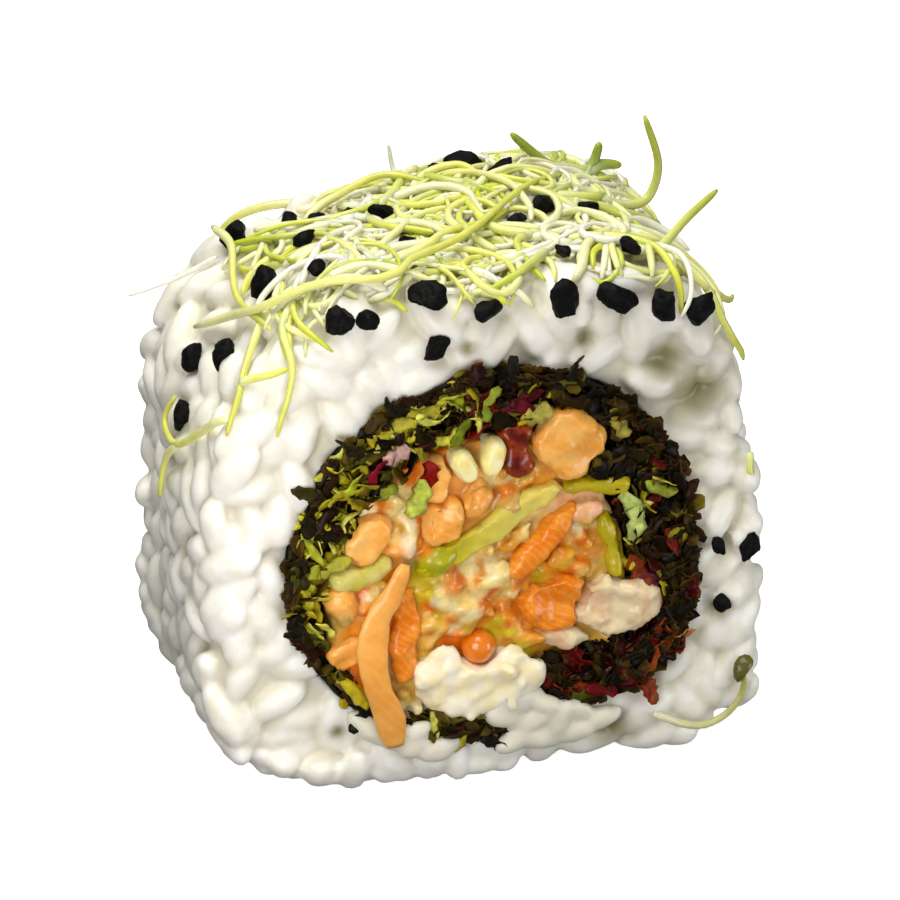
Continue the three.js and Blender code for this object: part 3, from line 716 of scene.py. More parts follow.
# Grains pushed in over the lining below the cheese: x, z and heading in degrees
CRUMBS = [
    (2.1, 6.6, 20), (4.3, 5.7, -30), (2.6, 4.6, 10), (5.0, 4.3, 60), (0.9, 5.2, -15), (1.6, 3.3, 25),
    (3.8, 3.0, -10), (6.2, 3.1, 5), (0.6, 6.8, 70), (6.4, 5.0, -20), (8.2, 3.9, 15), (-6.4, 3.9, 12),
    (-8.3, 4.7, -24), (-4.5, 3.3, 4), (-10.3, 5.9, -40), (-6.9, 5.0, 20),
]


def loose_rice():
    """Broken grains, smaller than whole ones, greyed all over with the rice's painted shade."""
    draw = Dice(311)
    shape, shape_faces = grain_shape()
    heap = Heap()
    for x, z, degrees in CRUMBS:
        at = np.array([x, -HALF - draw(0.2, 0.6), z])
        axis = on_cut(math.radians(degrees), draw(-0.3, 0.3))
        half = GRAIN_HALF * draw(0.6, 0.8)
        heap.add(placed(shape, at, axis, np.array([0, -1.0, 0]), half), shape_faces)
    points, normals, faces = heap.fused(RICE_VOXEL, 1)
    points = relief(points, normals, [(0.15, 1.3, 3)])
    same = np.ones(len(points))
    # Painted shade all over the loose grains: much of the crevice shade and a little of the hollow shade
    looks = {"tone": 0.8 * same, "crevice_shade": 0.6 * same, "hollow_shade": 0.12 * same}
    return piece("loose_grains", points, faces, PALETTE["rice"], "rice", ["rice"], **looks)


# Seaweed


def seaweed():
    """The lining of the bore, wrinkled, with ragged ends that stand a little out of the cuts."""
    around, along = 220, 34
    rows = []
    for side in (1, -1):
        out = -SEAWEED_OUT - (0 if side > 0 else SEAWEED_THICKNESS)
        for s in np.linspace(-1, 1, along)[::side]:
            row = []
            for k in range(around):
                turn = 2 * math.pi * k / around
                ragged = 0.5 * noise.noise(Vector((8 * math.cos(turn), 8 * math.sin(turn), 5 * round(s))))
                wrinkle = 0.14 * noise.noise(Vector((9 * math.cos(turn), 9 * math.sin(turn), s * 5)))
                x, z = ellipse_point(BORE, turn, grow=out + wrinkle)
                row.append((x, s * (HALF - 0.05 + ragged), z))
            rows.append(np.array(row))
    faces = ring_faces(len(rows), around, closed=True)
    return piece("seaweed_sheet", np.vstack(rows), faces, PALETTE["seaweed"], "seaweed", ["seaweed"])


# Filling

# Each piece that can be told apart: its solid, its finish, its slot, and how uneven it is
CHUNKS = [
    ("kernel_left", "kernel", "kernel", 0.1),
    ("kernel_right", "kernel", "kernel", 0.1),
    ("avocado_strip_long", "avocado", "avocado", 0.35),
    ("avocado_strip_end", "avocado_lime", "avocado", 0.4),
    ("salmon_slice", "salmon_deep", "salmon", 0.35),
    ("salmon_upper", "salmon", "salmon", 0.36),
    ("pepper_red", "pepper", "pepper", 0.35),
    ("salmon_bit_upper", "salmon", "salmon", 0.35),
    ("salmon_bit_middle", "salmon", "salmon", 0.4),
    ("salmon_bit_inner", "salmon", "salmon", 0.4),
    ("salmon_left", "salmon_pale", "salmon", 0.4),
    ("salmon_far_left", "salmon", "salmon", 0.4),
    ("avocado_strip_left", "avocado_pale", "avocado", 0.35),
    ("avocado_strip_right", "avocado_lime", "avocado", 0.35),
    ("prawn_chunk", "prawn", "prawn", 0.75),
    ("prawn_edge", "prawn", "prawn", 0.4),
    ("salmon_right", "salmon_deep", "salmon", 0.6),
    ("salmon_low", "salmon_deep", "salmon", 0.45),
    ("salmon_low_left", "salmon", "salmon", 0.4),
    ("avocado_strip_low", "avocado_lime", "avocado", 0.3),
]

# How far this one lies from its solid, out over the lining, as x, y and z
NUDGED = {"avocado_strip_low": (-1.7, -0.7, 0.0)}


def chunk(node, finish, slot, uneven, shift):
    """A larger piece of the filling in its solid's form, with softened edges and an uneven surface."""
    points, normals, faces = remeshed(*solid(node), CHUNK_VOXEL, 2)
    waves = [(uneven * 1.8, 2.8, shift), (uneven * 0.6, 1.2, shift + 5), (uneven * 0.35, 0.5, shift + 9)]
    points = relief(points, normals, waves) + np.array(NUDGED.get(node, (0, 0, 0)))
    return piece(node + "_flesh", points, faces, PALETTE[finish], slot, [node])


ROE = {"x": -1.3, "z": 11.4, "radius": 1.35, "out": 1.0}


def roe():
    """One large egg of salmon roe: a taut, nearly round ball."""
    points, faces = ball(4)
    at = np.array([ROE["x"], -HALF - ROE["out"] + ROE["radius"], ROE["z"]])
    points = relief(at + points * ROE["radius"], points, [(0.12, 1.6, 3)])
    return piece("roe_egg", points, faces, PALETTE["roe"], "roe", ["roe_ball"])


# No place near a cut is deeper than this in one of the larger pieces.
DEEPEST = 1.5


def clearance_test():
    """Tells whether a place is clear of the larger pieces, so that nothing small is laid over them."""
    trees = []
    for node in [name for name, _, _, _ in CHUNKS] + ["roe_ball", "cream_cheese"]:
        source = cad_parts[node].data
        corners = [list(p.vertices) for p in source.polygons]
        trees.append(BVHTree.FromPolygons([v.co / MM for v in source.vertices], corners))

    def clear(at, gap):
        for tree in trees:
            near, normal, _, away = tree.find_nearest(Vector(at))
            inside = away < DEEPEST and (Vector(at) - near).dot(normal) < 0
            if away < gap or inside:
                return False
        return True

    return clear


MASH_TINTS = [
    "#e8cf80", "#deb452", "#dc8e22", "#e6a84a", "#ccb420", "#cb6004", "#ecdba4", "#d6aa3c", "#d87e12",
    "#e4c068", "#de760c", "#e29c36",
]
# Bits of it that catch the eye: x, z, half length, half width, heading in degrees and tint
BITS = [
    (-4.6, 19.3, 2.0, 1.3, 35, "#a8a60a"), (0.0, 17.3, 1.7, 1.1, 20, "#f0dc92"),
    (-2.5, 14.5, 1.8, 1.2, 10, "#dccf98"), (-4.1, 15.6, 1.5, 1.1, -30, "#e2d69e"),
    (-1.4, 16.3, 1.3, 1.0, 50, "#e8d084"), (7.4, 21.6, 1.6, 1.1, 0, "#f0b488"),
    (5.2, 17.9, 1.4, 0.8, 35, "#e2b434"), (-1.5, 23.7, 1.6, 1.2, 60, "#e6a048"),
    (1.2, 23.3, 1.4, 1.1, 40, "#dcb05e"), (-6.9, 21.6, 2.2, 0.8, 85, "#ead9b4"),
    (6.6, 16.9, 1.3, 0.8, 10, "#cf6202"), (-3.3, 16.9, 1.3, 0.9, 20, "#de8a36"),
    (2.4, 17.2, 1.3, 0.8, 60, "#c86010"), (3.1, 11.6, 1.4, 0.9, 10, "#dc9628"),
    (-12.0, 15.9, 1.4, 1.0, 60, "#ccaa52"),
]
STREWN_BITS = 620
LARGE_BITS = 170
PLUG_TURNS = 64
PLUG_SHARES = [0.02, 0.3, 0.55, 0.8, 0.97]
PLUG_FLOOR = 4.9
RED_ZONE = {"left": 3.0, "top": 9.8, "corner": 9.0, "rise": 0.8}
# Below this height there are only leaves between the cheese and the lining.
MIX_FLOOR = 6.0


def in_red_zone(x, z):
    """Whether the burgundy leaf, and not the chopped filling, shows there."""
    return x > RED_ZONE["left"] and z < RED_ZONE["top"] + max(0.0, x - RED_ZONE["corner"]) * RED_ZONE["rise"]


def plug():
    """The body of the chopped filling, from one cut to the other."""
    rows = [(-1, share) for share in PLUG_SHARES]
    rows += [(-0.6, 0.98), (0, 0.98), (0.6, 0.98)]
    rows += [(1, share) for share in reversed(PLUG_SHARES)]
    rings = []
    for depth, share in rows:
        for turn in np.linspace(0, 2 * math.pi, PLUG_TURNS, endpoint=False):
            x, z = ellipse_point(CORE, turn, share)
            z = max(z, PLUG_FLOOR)
            cut_back = 1.8 if in_red_zone(x, z) else 0.7
            rings.append((x, depth * (HALF - cut_back), z))
    last = (len(rows) - 1) * PLUG_TURNS
    faces = ring_faces(len(rows), PLUG_TURNS)
    faces += [list(range(PLUG_TURNS - 1, -1, -1)), [last + k for k in range(PLUG_TURNS)]]
    return np.array(rings), faces


def chopped_mix():
    """Salmon, avocado and cream chopped together: uneven bits pressed into one moist mass."""
    draw = Dice(8123)
    clear = clearance_test()
    shape, shape_faces = ball(2)
    heap = Heap()
    heap.add(*plug())
    tinted_at = []
    tints = []

    def add_bit(at, axis, size, tint):
        end = np.array([0, math.copysign(1, at[1]), 0])
        heap.add(placed(chip(draw, shape), at, axis, end, size), shape_faces)
        for place in (-0.5, 0, 0.5):
            tinted_at.append(at + unit(axis) * size[0] * place)
            tints.append(linear(tint))

    for x, z, long, wide, degrees, tint in BITS:
        at = np.array([x, -HALF + 0.1, z])
        add_bit(at, on_cut(math.radians(degrees)), np.array([long, wide, 0.9]), tint)
    for end in (-1, 1):
        for n in range(STREWN_BITS):
            turn, share = draw(0, 2 * math.pi), math.sqrt(draw())
            x, z = ellipse_point(CORE, turn, share)
            if z < MIX_FLOOR or in_red_zone(x, z):
                continue
            large = n < LARGE_BITS
            size = np.array([draw(0.9, 1.7), draw(0.6, 1.1), draw(0.5, 0.9)]) * (1.0 if large else 0.6)
            at = np.array([x, end * (HALF - (draw(0.4, 0.9) if large else draw(0.0, 0.6))), z])
            if not clear(at, 0.75 if large else 0.45):
                continue
            axis = np.array([draw(-1, 1), draw(-0.4, 0.4), draw(-1, 1)])
            add_bit(at, axis, size, draw.pick(MASH_TINTS))
    points, normals, faces = heap.fused(BIT_VOXEL, 1)
    points = relief(points, normals, [(0.18, 0.9, 1)])
    tree = nearest_of(tinted_at)
    tint = []
    for p in points:
        near = tree.find_n(Vector(p), 3)
        weights = np.array([1 / (away + 0.05) ** 5 for _, _, away in near])
        tint.append(np.average([tints[k] for _, k, _ in near], axis=0, weights=weights))
    looks = {"tint": np.array(tint)}
    nodes = ["chopped_salmon_mix"]
    return piece("chopped_mix_bits", points, faces, PALETTE["mash"], "chopped_mix", nodes, **looks)


# Where the soft cheese is pressed out over the seaweed and the rice: an ellipse on the cut
CHEESE = {"x": -1.5, "z": 8.6, "rx": 4.7, "rz": 2.6}
CHEESE_LEAN = -0.12
CHEESE_LUMPS = [-1] * 130 + [1] * 70
ROE_CLEARANCE = 2.2


def soft_cheese():
    """Cream cheese: a lumpy cream mass that spills over the lining, greyer at its lower right end."""
    draw = Dice(177)
    shape, shape_faces = ball(2)
    heap = Heap()
    heap.add(*solid("cream_cheese"))
    for end in CHEESE_LUMPS:
        turn, share = draw(0, 2 * math.pi), math.sqrt(draw())
        x, z = ellipse_point(CHEESE, turn, share)
        z += CHEESE_LEAN * x
        if end < 0 and math.hypot(x - ROE["x"], z - ROE["z"]) < ROE_CLEARANCE:
            continue
        at = np.array([x, end * (HALF + 0.2 + draw(-0.2, 0.4)), z])
        axis = np.array([draw(-1, 1), draw(-0.4, 0.4), draw(-1, 1)])
        size = np.array([draw(0.9, 1.7), draw(0.8, 1.2), draw(0.5, 0.7)])
        lumpy = chip(draw, shape, 4, 0.7, 0.9)
        heap.add(placed(lumpy, at, axis, np.array([0, end, 0.0]), size), shape_faces)
    points, normals, faces = heap.fused(BIT_VOXEL, 3)
    points = relief(points, normals, [(0.3, 2.2, 4), (0.1, 0.7, 6)])
    cream, pale, grey = (np.array(linear(c)) for c in ("#f4e7b6", "#f2ebd0", "#e2dcc2"))
    lean = np.clip((points[:, 0] - 1.0) / 3 + (6.5 - points[:, 2]) / 3, 0, 1)[:, None]
    speck = np.array([noise.noise(Vector(p) / 1.1) for p in points])[:, None]
    tint = cream + (pale - cream) * np.clip(0.5 + 1.5 * speck, 0, 1)
    looks = {"tint": tint + (grey - tint) * lean}
    nodes = ["cream_cheese"]
    return piece("soft_cheese", points, faces, PALETTE["cheese"], "cream_cheese", nodes, **looks)


# Leaves

LEAF_DARK = ["#1a1303", "#2a1e03", "#100c03", "#3a2a04", "#221a03", "#200e03"]
LEAF_MID = ["#54460a", "#463a05", "#64560f", "#4a4a10"]
LEAF_RED = ["#540c05", "#701a08", "#360405", "#803410"]
LEAF_TINTS = {
    "dark": LEAF_DARK,
    "mid": LEAF_MID,
    "bright": ["#b09a1c", "#bcae24", "#cac440", "#968c14", "#d6d258", "#a0961c"],
    "red": LEAF_RED,
    "red_zone": LEAF_RED + 2 * LEAF_DARK,
}
LEAVES_A_FACE = 620
LEAF_HALF_THICKNESS = 0.055
# Short dark shreds that fray the lining's edge all the way round
FRAYED = 150
FRAYED_TINTS = 4 * LEAF_DARK + LEAF_MID

# Shreds that can be told apart, broad pale ribs first: x, z, heading in degrees, length, half width, tint
SHREDS = [
    (-11.3, 26.7, 60, 2.3, 0.7, "#aab428"), (-8.0, 31.1, 15, 3.0, 0.55, "#b0a62c"),
    (-5.9, 32.1, 10, 2.6, 0.5, "#a0982a"), (-3.7, 32.9, -30, 2.2, 0.45, "#8f961e"),
    (-0.6, 32.0, 75, 3.0, 0.5, "#909a2c"), (-2.9, 30.0, 60, 2.4, 0.5, "#6f7a18"),
    (-6.3, 24.9, 70, 3.2, 0.75, "#b2be48"), (-8.8, 25.8, 30, 2.0, 0.5, "#7c8420"),
    (3.0, 30.7, 20, 2.4, 0.8, "#b0a648"), (9.7, 29.1, -70, 2.6, 0.6, "#a0923a"),
    (13.1, 23.2, -25, 2.6, 0.55, "#8f9a34"), (10.9, 21.1, -80, 4.0, 0.7, "#c0cf6e"),
    (-14.7, 21.9, -60, 3.2, 0.35, "#a6a62c"), (-13.1, 20.0, 30, 3.2, 0.5, "#aeac34"),
    (-14.6, 19.4, 80, 2.4, 0.4, "#98982a"), (-9.5, 27.6, 60, 2.2, 0.5, "#7a0c22"),
    (-8.0, 28.8, 30, 2.2, 0.6, "#c4988a"), (2.3, 32.1, 20, 2.8, 0.5, "#4a0c14"),
    (1.7, 31.4, -10, 2.2, 0.6, "#5a1018"), (14.2, 18.4, -70, 2.4, 0.5, "#6a1c08"),
    (12.2, 15.2, 80, 1.8, 0.8, "#6a2430"), (-5.4, 26.6, 80, 2.6, 0.6, "#7a0e04"),
    (-3.6, 5.7, 20, 3.2, 0.7, "#6b5a1c"), (-2.1, 6.2, -20, 2.6, 0.6, "#7a6a24"),
    (-1.4, 4.4, -25, 3.0, 0.6, "#4a3c10"), (-3.2, 4.4, 10, 2.4, 0.6, "#2e240a"),
    (-0.3, 3.2, -35, 2.4, 0.5, "#14120a"), (-4.6, 6.3, -60, 2.2, 0.6, "#5a4a14"),
    (12.0, 6.4, -60, 2.6, 0.7, "#7c2408"), (12.6, 5.8, -80, 2.2, 0.5, "#8a3a1e"),
    (15.0, 10.3, 30, 2.2, 0.5, "#b06a3a"), (13.9, 9.4, 10, 2.4, 0.6, "#5a1408"),
    (8.4, 6.6, -10, 2.6, 0.5, "#5a0a0e"), (-15.2, 26.7, 160, 2.4, 0.5, "#26270c"),
    (-16.2, 21.0, 178, 2.2, 0.5, "#1e1f0c"), (1.1, 34.8, 95, 2.4, 0.5, "#14150a"),
    (6.0, 34.2, 70, 2.4, 0.6, "#14150a"), (-12.0, 30.2, 135, 2.0, 0.5, "#1e1f0c"),
    (-11.2, 6.9, -125, 2.2, 0.5, "#14150a"), (-8.6, 33.0, 120, 1.8, 0.5, "#14150a"),
    (-16.2, 15.2, 190, 1.8, 0.4, "#14150a"),
]
# Where a shred lies this far out in the bore, it is laid over the lining.
NEAR_LINING = 0.93

# At the lower right the leaves bulge out of the lining: the turns round it, in degrees, and how far
BULGE = {"first": -48, "last": -14, "reach": 1.2, "shreds": 50}
BULGE_TINTS = 2 * LEAF_DARK + LEAF_RED


def add_shred(heap, draw, at, heading, side, length, wide, across, tint, bend=0.8, tip=0.25):
    """A strip of leaf with an uneven edge, bent to its side and rolled a little.

    across is the way its width lies. A high tip makes its ends blunt.
    """
    count = 8
    steps = np.linspace(-0.5, 0.5, count)[:, None]
    path = at + heading * length * steps + side * draw(-bend, bend) * length * (steps**2 - 0.08)
    widths = rounded(count, wide, tip) * (1 + 0.25 * np.sin(np.arange(count) * draw(1.5, 3) + draw(0, 6)))
    thick = np.full(count, LEAF_HALF_THICKNESS)
    points, faces = tube(path, widths, thick, across, 6, draw(-1.4, 1.4))
    normals = np.tile(unit(np.cross(heading, across)), (len(points), 1))
    heap.add(relief(points, normals, [(0.3, 0.9, length)]), faces, linear(tint))


def leaf_kind(draw, x, z):
    """Mostly dark; brighter chopped ribs at the upper left, and red edges at the right."""
    if in_red_zone(x, z):
        return "red_zone"
    turn = math.degrees(math.atan2(z - BORE["z"], x - BORE["x"])) % 360
    dim = turn > 300 or turn < 60
    bright = 0.4 if 95 < turn < 200 else 0.03 if dim else 0.1
    red = 0.12 if turn > 300 or turn < 45 else 0.06
    mid = 0.08 if dim else 0.2
    luck = draw()
    if luck < bright:
        return "bright"
    if luck < bright + red:
        return "red"
    return "mid" if luck < bright + red + mid else "dark"


def leaf_bed(lining):
    """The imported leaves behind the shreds: a dark ring from the lining to the filling."""
    around = 96
    rows = []
    for section, grow, ends in ((lining, 0.0, (-1, 1)), (CORE, 0.15, (1, -1))):
        for end in ends:
            for turn in np.linspace(0, 2 * math.pi, around, endpoint=False):
                x, z = ellipse_point(section, turn, grow=grow)
                rows.append((x, end * (HALF - 0.9), z))
    return np.array(rows), ring_faces(4, around, closed=True)


def chopped_leaves():
    """Salad leaves cut into shreds and rolled up with the filling: thin, curled, dark, with paler ribs."""
    draw = Dice(640)
    clear = clearance_test()
    heap = Heap()
    lining = {**BORE, "rx": BORE["rx"] - LINING, "rz": BORE["rz"] - LINING}
    heap.add(*leaf_bed(lining), linear("#0d0e06"))
    for end in (-1, 1):
        kept = 0
        while kept < LEAVES_A_FACE:
            x = draw(BORE["x"] - BORE["rx"], BORE["x"] + BORE["rx"])
            z = draw(BORE["z"] - BORE["rz"], BORE["z"] + BORE["rz"])
            at = np.array([x, end * (HALF - draw(-0.25, 0.7)), z])
            if ellipse_share(lining, x, z, draw(-0.3, 0.5)) > 1 or not clear(at, 0.6):
                continue
            if ellipse_share(CORE, x, z, 0.2) < 1 and z > MIX_FLOOR and not in_red_zone(x, z):
                continue
            kept += 1
            heading = on_cut(draw(0, 2 * math.pi), draw(-0.3, 0.3))
            side = sideways(heading)
            across = side + np.array([0, end * draw(-1, 1) ** 3 * 2.5, 0])
            kind = leaf_kind(draw, x, z)
            if kind == "bright":
                at[1] += end * 0.2
                length, wide, bend, tip = draw(1.4, 3.0), draw(0.25, 0.5), 1.6, 0.5
            else:
                wide, length, bend, tip = draw(0.35, 0.85), draw(1.2, 3.2), 1.2, 0.25
            tint = draw.pick(LEAF_TINTS[kind])
            add_shred(heap, draw, at, heading, side, length, wide, across, tint, bend, tip)
        for _ in range(FRAYED):
            turn = draw(0, 2 * math.pi)
            x, z = ellipse_point(BORE, turn, grow=draw(-0.7, 0.25) - (0.7 if math.sin(turn) < -0.55 else 0))
            at = np.array([x, end * (HALF + 0.35 + draw(0, 0.25)), z])
            heading = on_cut(turn + math.pi / 2 + draw(-0.7, 0.7), draw(-0.2, 0.2))
            side = sideways(heading)
            tint = draw.pick(FRAYED_TINTS)
            add_shred(heap, draw, at, heading, side, draw(1.0, 2.4), draw(0.3, 0.65), side, tint)
    for _ in range(BULGE["shreds"]):
        share = draw()
        turn = math.radians(BULGE["first"] + (BULGE["last"] - BULGE["first"]) * share)
        out = BULGE["reach"] * math.sin(math.pi * share) ** 2 * draw(-0.2, 1)
        x, z = ellipse_point(BORE, turn, grow=out)
        heading = on_cut(turn + math.pi / 2 + draw(-0.9, 0.9))
        side = sideways(heading)
        across = side + np.array([0, 0.3, 0])
        at = np.array([x, -HALF - 0.4 - draw(0, 0.3), z])
        tint = draw.pick(BULGE_TINTS)
        add_shred(heap, draw, at, heading, side, draw(1.8, 3.6), draw(0.6, 1.1), across, tint)
    for x, z, degrees, length, wide, tint in SHREDS:
        heading = on_cut(math.radians(degrees), -0.1)
        side = sideways(heading, draw(-0.5, 0.5))
        out = 0.75 if ellipse_share(BORE, x, z) > NEAR_LINING else 0.45
        at = np.array([x, -HALF - out, z])
        add_shred(heap, draw, at, heading, side, length, wide, side, tint, tip=0.5)
    return heap.piece("leaf_shreds", PALETTE["leaf"], "leaves", ["chopped_leaves"])


# Carrot and burgundy leaf

# The carrot ribbon's middle line on the cut, from its top to where it hangs over the rice
RIBBON = [(-7.6, 20.0), (-8.4, 18.0), (-9.8, 15.9), (-10.4, 13.2), (-10.0, 10.3), (-9.2, 7.9), (-8.5, 4.7)]
RIBBON_HALF = 1.05
RIBBON_HALF_THICKNESS = 0.34
RIBBON_Y = -HALF - 1.65
RIBBON_TWIST = 0.25


def carrot_ribbon():
    """A thin shaving of carrot that hangs out of the filling, with a slight twist and soft edges."""
    count, sides = 40, 20
    line = smooth_path([(x, RIBBON_Y, z) for x, z in RIBBON], count)
    share = np.linspace(0, 1, count)
    line[:, 1] += 0.35 * np.cos(share * 5)
    wide = rounded(count, RIBBON_HALF, 0.6) * np.minimum(1.08, 0.55 + 1.6 * share)
    wide *= 1 + 0.06 * np.sin(share * 17)
    thick = rounded(count, RIBBON_HALF_THICKNESS, 0.6)
    points, faces = tube(line, wide, thick, (1, 0, 0), sides, RIBBON_TWIST)
    normals = points - np.repeat(line, sides, axis=0)
    normals /= np.linalg.norm(normals, axis=1)[:, None]
    points = relief(points, normals, [(0.14, 1.6, 2), (0.06, 0.6, 8)])
    return piece("carrot_shaving", points, faces, PALETTE["carrot"], "carrot", ["carrot_ribbon"])


LEAF_LAYERS = 9
LEAF_THICKNESS = 0.16


def red_leaf():
    """A burgundy lettuce leaf, folded into ruffles along the lining at the lower right."""
    heap = Heap()
    columns, rows = 40, 24
    steps = np.arange(columns)
    for layer in range(LEAF_LAYERS):
        turns = np.radians(np.linspace(-78 + 2 * layer, -16 - 2.5 * layer, columns))
        thin = np.minimum(1, np.minimum(steps, columns - 1 - steps) / 6 + 0.1)
        reach = LINING + 0.1 + (0.2 + 0.4 * layer + 0.25 * np.sin(steps * 0.7 + layer * 1.7)) * thin
        x = BORE["x"] + (BORE["rx"] - reach) * np.cos(turns)
        z = BORE["z"] + (BORE["rz"] - reach) * np.sin(turns)
        out = np.stack([np.cos(turns), 0 * turns, np.sin(turns)], axis=1)
        ruffle = 0.35 * np.sin(steps * 0.9 + 2.3 * layer)
        sheet = []
        for s in np.linspace(-1, 1, rows):
            y = s * (HALF + 0.2 - 0.12 * layer + ruffle)
            fold = 0.15 * np.sin(8 * s + steps * 0.5 + layer)
            sheet.append(np.stack([x, y, z], axis=1) + fold[:, None] * out)
        top = np.vstack(sheet)
        below = top + np.tile(out * LEAF_THICKNESS, (rows, 1))
        heap.add(np.vstack([top, below]), sheet_faces(rows, columns))
    return heap.piece("burgundy_leaf_folds", PALETTE["burgundy"], "red_leaf", ["red_leaf"])


def sheet_faces(rows, columns):
    """The faces of a closed thin sheet whose two sides are grids of the same points, one after the other."""
    under = rows * columns
    faces = []
    for r in range(rows - 1):
        for c in range(columns - 1):
            a = r * columns + c
            quad = [a, a + 1, a + columns + 1, a + columns]
            faces.append(quad)
            faces.append([k + under for k in reversed(quad)])
    rim = list(range(columns))
    rim += [r * columns + columns - 1 for r in range(1, rows)]
    rim += [(rows - 1) * columns + c for c in range(columns - 2, -1, -1)]
    rim += [r * columns for r in range(rows - 2, 0, -1)]
    for a, b in zip(rim, rim[1:] + rim[:1]):
        faces.append([b, a, a + under, b + under])
    return faces


# Sprouts

# The stems that stand out in the tangle, draped on the skin, as u, v and height
DRAPED = [
    [(-15.6, -6.0, 1.0), (-18.5, -8.7, 0.95), (-21.4, -11.1, 0.9), (-24.8, -11.9, 0.9)],
    [(-14.5, -8.5, 1.0), (-16.1, -10.5, 1.0), (-17.7, -13.0, 0.95), (-23.0, -14.8, 0.9)],
    [(-21.0, -10.8, 1.0), (-19.2, -12.0, 1.2), (-17.6, -12.6, 1.0)],
    [
        (-21.5, 0.9, 1.0), (-18.6, -3.4, 1.4), (-15.4, -8.5, 2.0), (-8.6, -10.9, 2.0), (-5.0, -9.2, 2.3),
        (1.1, -4.9, 2.4), (10.7, 5.7, 1.4),
    ],
    [(-23.6, -11.6, 0.95), (-25.8, -8.9, 0.9), (-29.1, -4.1, 0.9), (-28.8, -0.3, 0.9), (-26.5, -1.0, 0.9)],
    [(-29.0, -4.4, 0.9), (-31.0, -2.4, 0.9), (-34.3, -1.9, 0.9)],
    [(-10.0, 5.4, 1.2), (-7.6, 6.1, 2.3), (-3.3, 7.3, 2.7), (0.4, 5.8, 1.2)],
    [(-16.0, 8.0, 2.4), (-15.7, 4.2, 2.0), (-17.4, -2.8, 1.7), (-16.8, -9.7, 1.1)],
    [(14.0, -8.0, 1.0), (18.5, -11.3, 1.0), (22.0, -11.6, 1.1), (24.8, -10.0, 1.4)],
    [(16.0, -5.0, 1.0), (19.5, -7.5, 1.2), (22.0, -6.0, 1.8), (23.0, -4.0, 2.2)],
    [(32.0, -12.9, 0.9), (33.4, -13.2, 1.0), (34.4, -12.4, 0.9)],
    [(9.0, 9.0, 1.2), (14.0, 11.5, 1.1), (20.0, 12.5, 0.95), (25.0, 13.5, 0.9)],
    [(-9.0, 10.0, 1.2), (-14.0, 12.0, 1.1), (-19.0, 14.4, 0.95), (-22.0, 15.2, 0.9)],
]
FALLEN = [
    (63.0, -15.4, 1.0), (60.5, -14.2, 1.0), (57.0, -13.2, 1.05), (53.6, -13.0, 1.05), (50.6, -13.6, 1.0),
]

# The stems that stand up off it, as x, y and z
LEAFLETS = [
    [(14.5, 8.2, 39.8), (12.8, 8.0, 40.9), (10.7, 8.0, 42.0), (9.2, 8.0, 43.4), (7.6, 8.0, 45.0)],
    [(13.2, 7.0, 40.4), (14.3, 8.0, 41.5), (14.9, 8.0, 43.4)],
    [(13.6, 7.6, 40.8), (15.0, 8.0, 41.5), (16.7, 8.0, 41.3)],
]
STANDING = [
    [(12.5, 2.0, 41.2), (15.5, 3.2, 39.9), (17.6, 4.0, 40.0), (18.4, 4.0, 42.8), (17.2, 4.0, 46.9)],
    [(11.8, -9.3, 41.0), (14.4, -8.0, 41.0), (17.2, -6.0, 42.2), (20.4, -4.0, 43.4)],
]
PALE_ROOTS = [
    [(-1.6, 6.5, 42.2), (-2.0, 8.0, 43.2), (-2.3, 8.3, 45.2)],
    [(-16.6, 6.5, 38.2), (-19.4, 7.6, 36.4), (-23.2, 8.5, 34.9)],
]

STEM_TINTS = [
    "#faf6e0", "#f6f2c8", "#f2efa0", "#ebe976", "#dfe250", "#faf7e6", "#d2d83e", "#f2efb4", "#bcc834",
]
LEAFY = "#93a634"
ROOT_END = "#f5f3df"
STRAY_STEMS = 600
# How far back they lie at the middle. They end nearer to the front towards the left.
STRAY_BACK = 12.5
# The dry bud at the fallen stem's tip
BUD_HALF = (1.3, 0.95, 0.7)
BUD_TINT = "#5e5a1c"

# Seed husks as u, v and size: those in the tangle, and those straight on the rice
SEEDS_IN_SPROUTS = [
    (-15.0, 7.0, 1.25), (-10.7, 6.6, 0.8), (-9.2, 5.0, 0.7), (-6.7, 4.4, 0.85), (-4.6, 2.4, 0.85),
    (-11.0, 0.6, 0.8), (-15.4, -3.0, 1.15), (-11.8, -6.2, 0.7), (-12.3, -12.0, 1.05), (-4.4, -4.2, 0.7),
    (-2.3, -4.3, 0.55), (-5.3, -11.8, 1.25), (4.0, 9.0, 1.1), (1.5, 8.7, 0.65), (6.2, 6.3, 1.0),
    (7.1, -1.2, 1.0), (4.6, -3.0, 0.75), (11.0, -0.6, 0.9), (6.1, -9.6, 0.6), (10.9, -10.2, 0.85),
    (9.3, -13.0, 1.2), (13.6, -12.9, 1.1), (16.6, -12.4, 1.15), (-7.0, 14.5, 1.0), (11.5, 13.8, 1.0),
    (-10.4, -12.5, 0.75), (-0.9, -12.9, 1.0), (5.0, -12.9, 1.2),
]
SEEDS_ON_RICE = [
    (-4.9, -15.2, 0.9), (-23.4, -0.2, 1.05), (-21.2, -4.4, 1.1), (-27.6, -2.2, 1.1), (39.3, -15.7, 0.6),
    (39.9, -13.3, 0.9), (44.4, -15.3, 0.7), (22.5, 3.0, 1.0), (27.0, 9.0, 0.9), (30.0, -3.0, 1.0),
    (3.0, 15.5, 1.0), (-13.0, 17.0, 0.8), (33.0, 2.0, 0.8),
]
HEIGHT_IN_SPROUTS = 1.2
HEIGHT_ON_RICE = 0.5
HUSK_HALF = np.array([1.35, 1.05, 0.85])


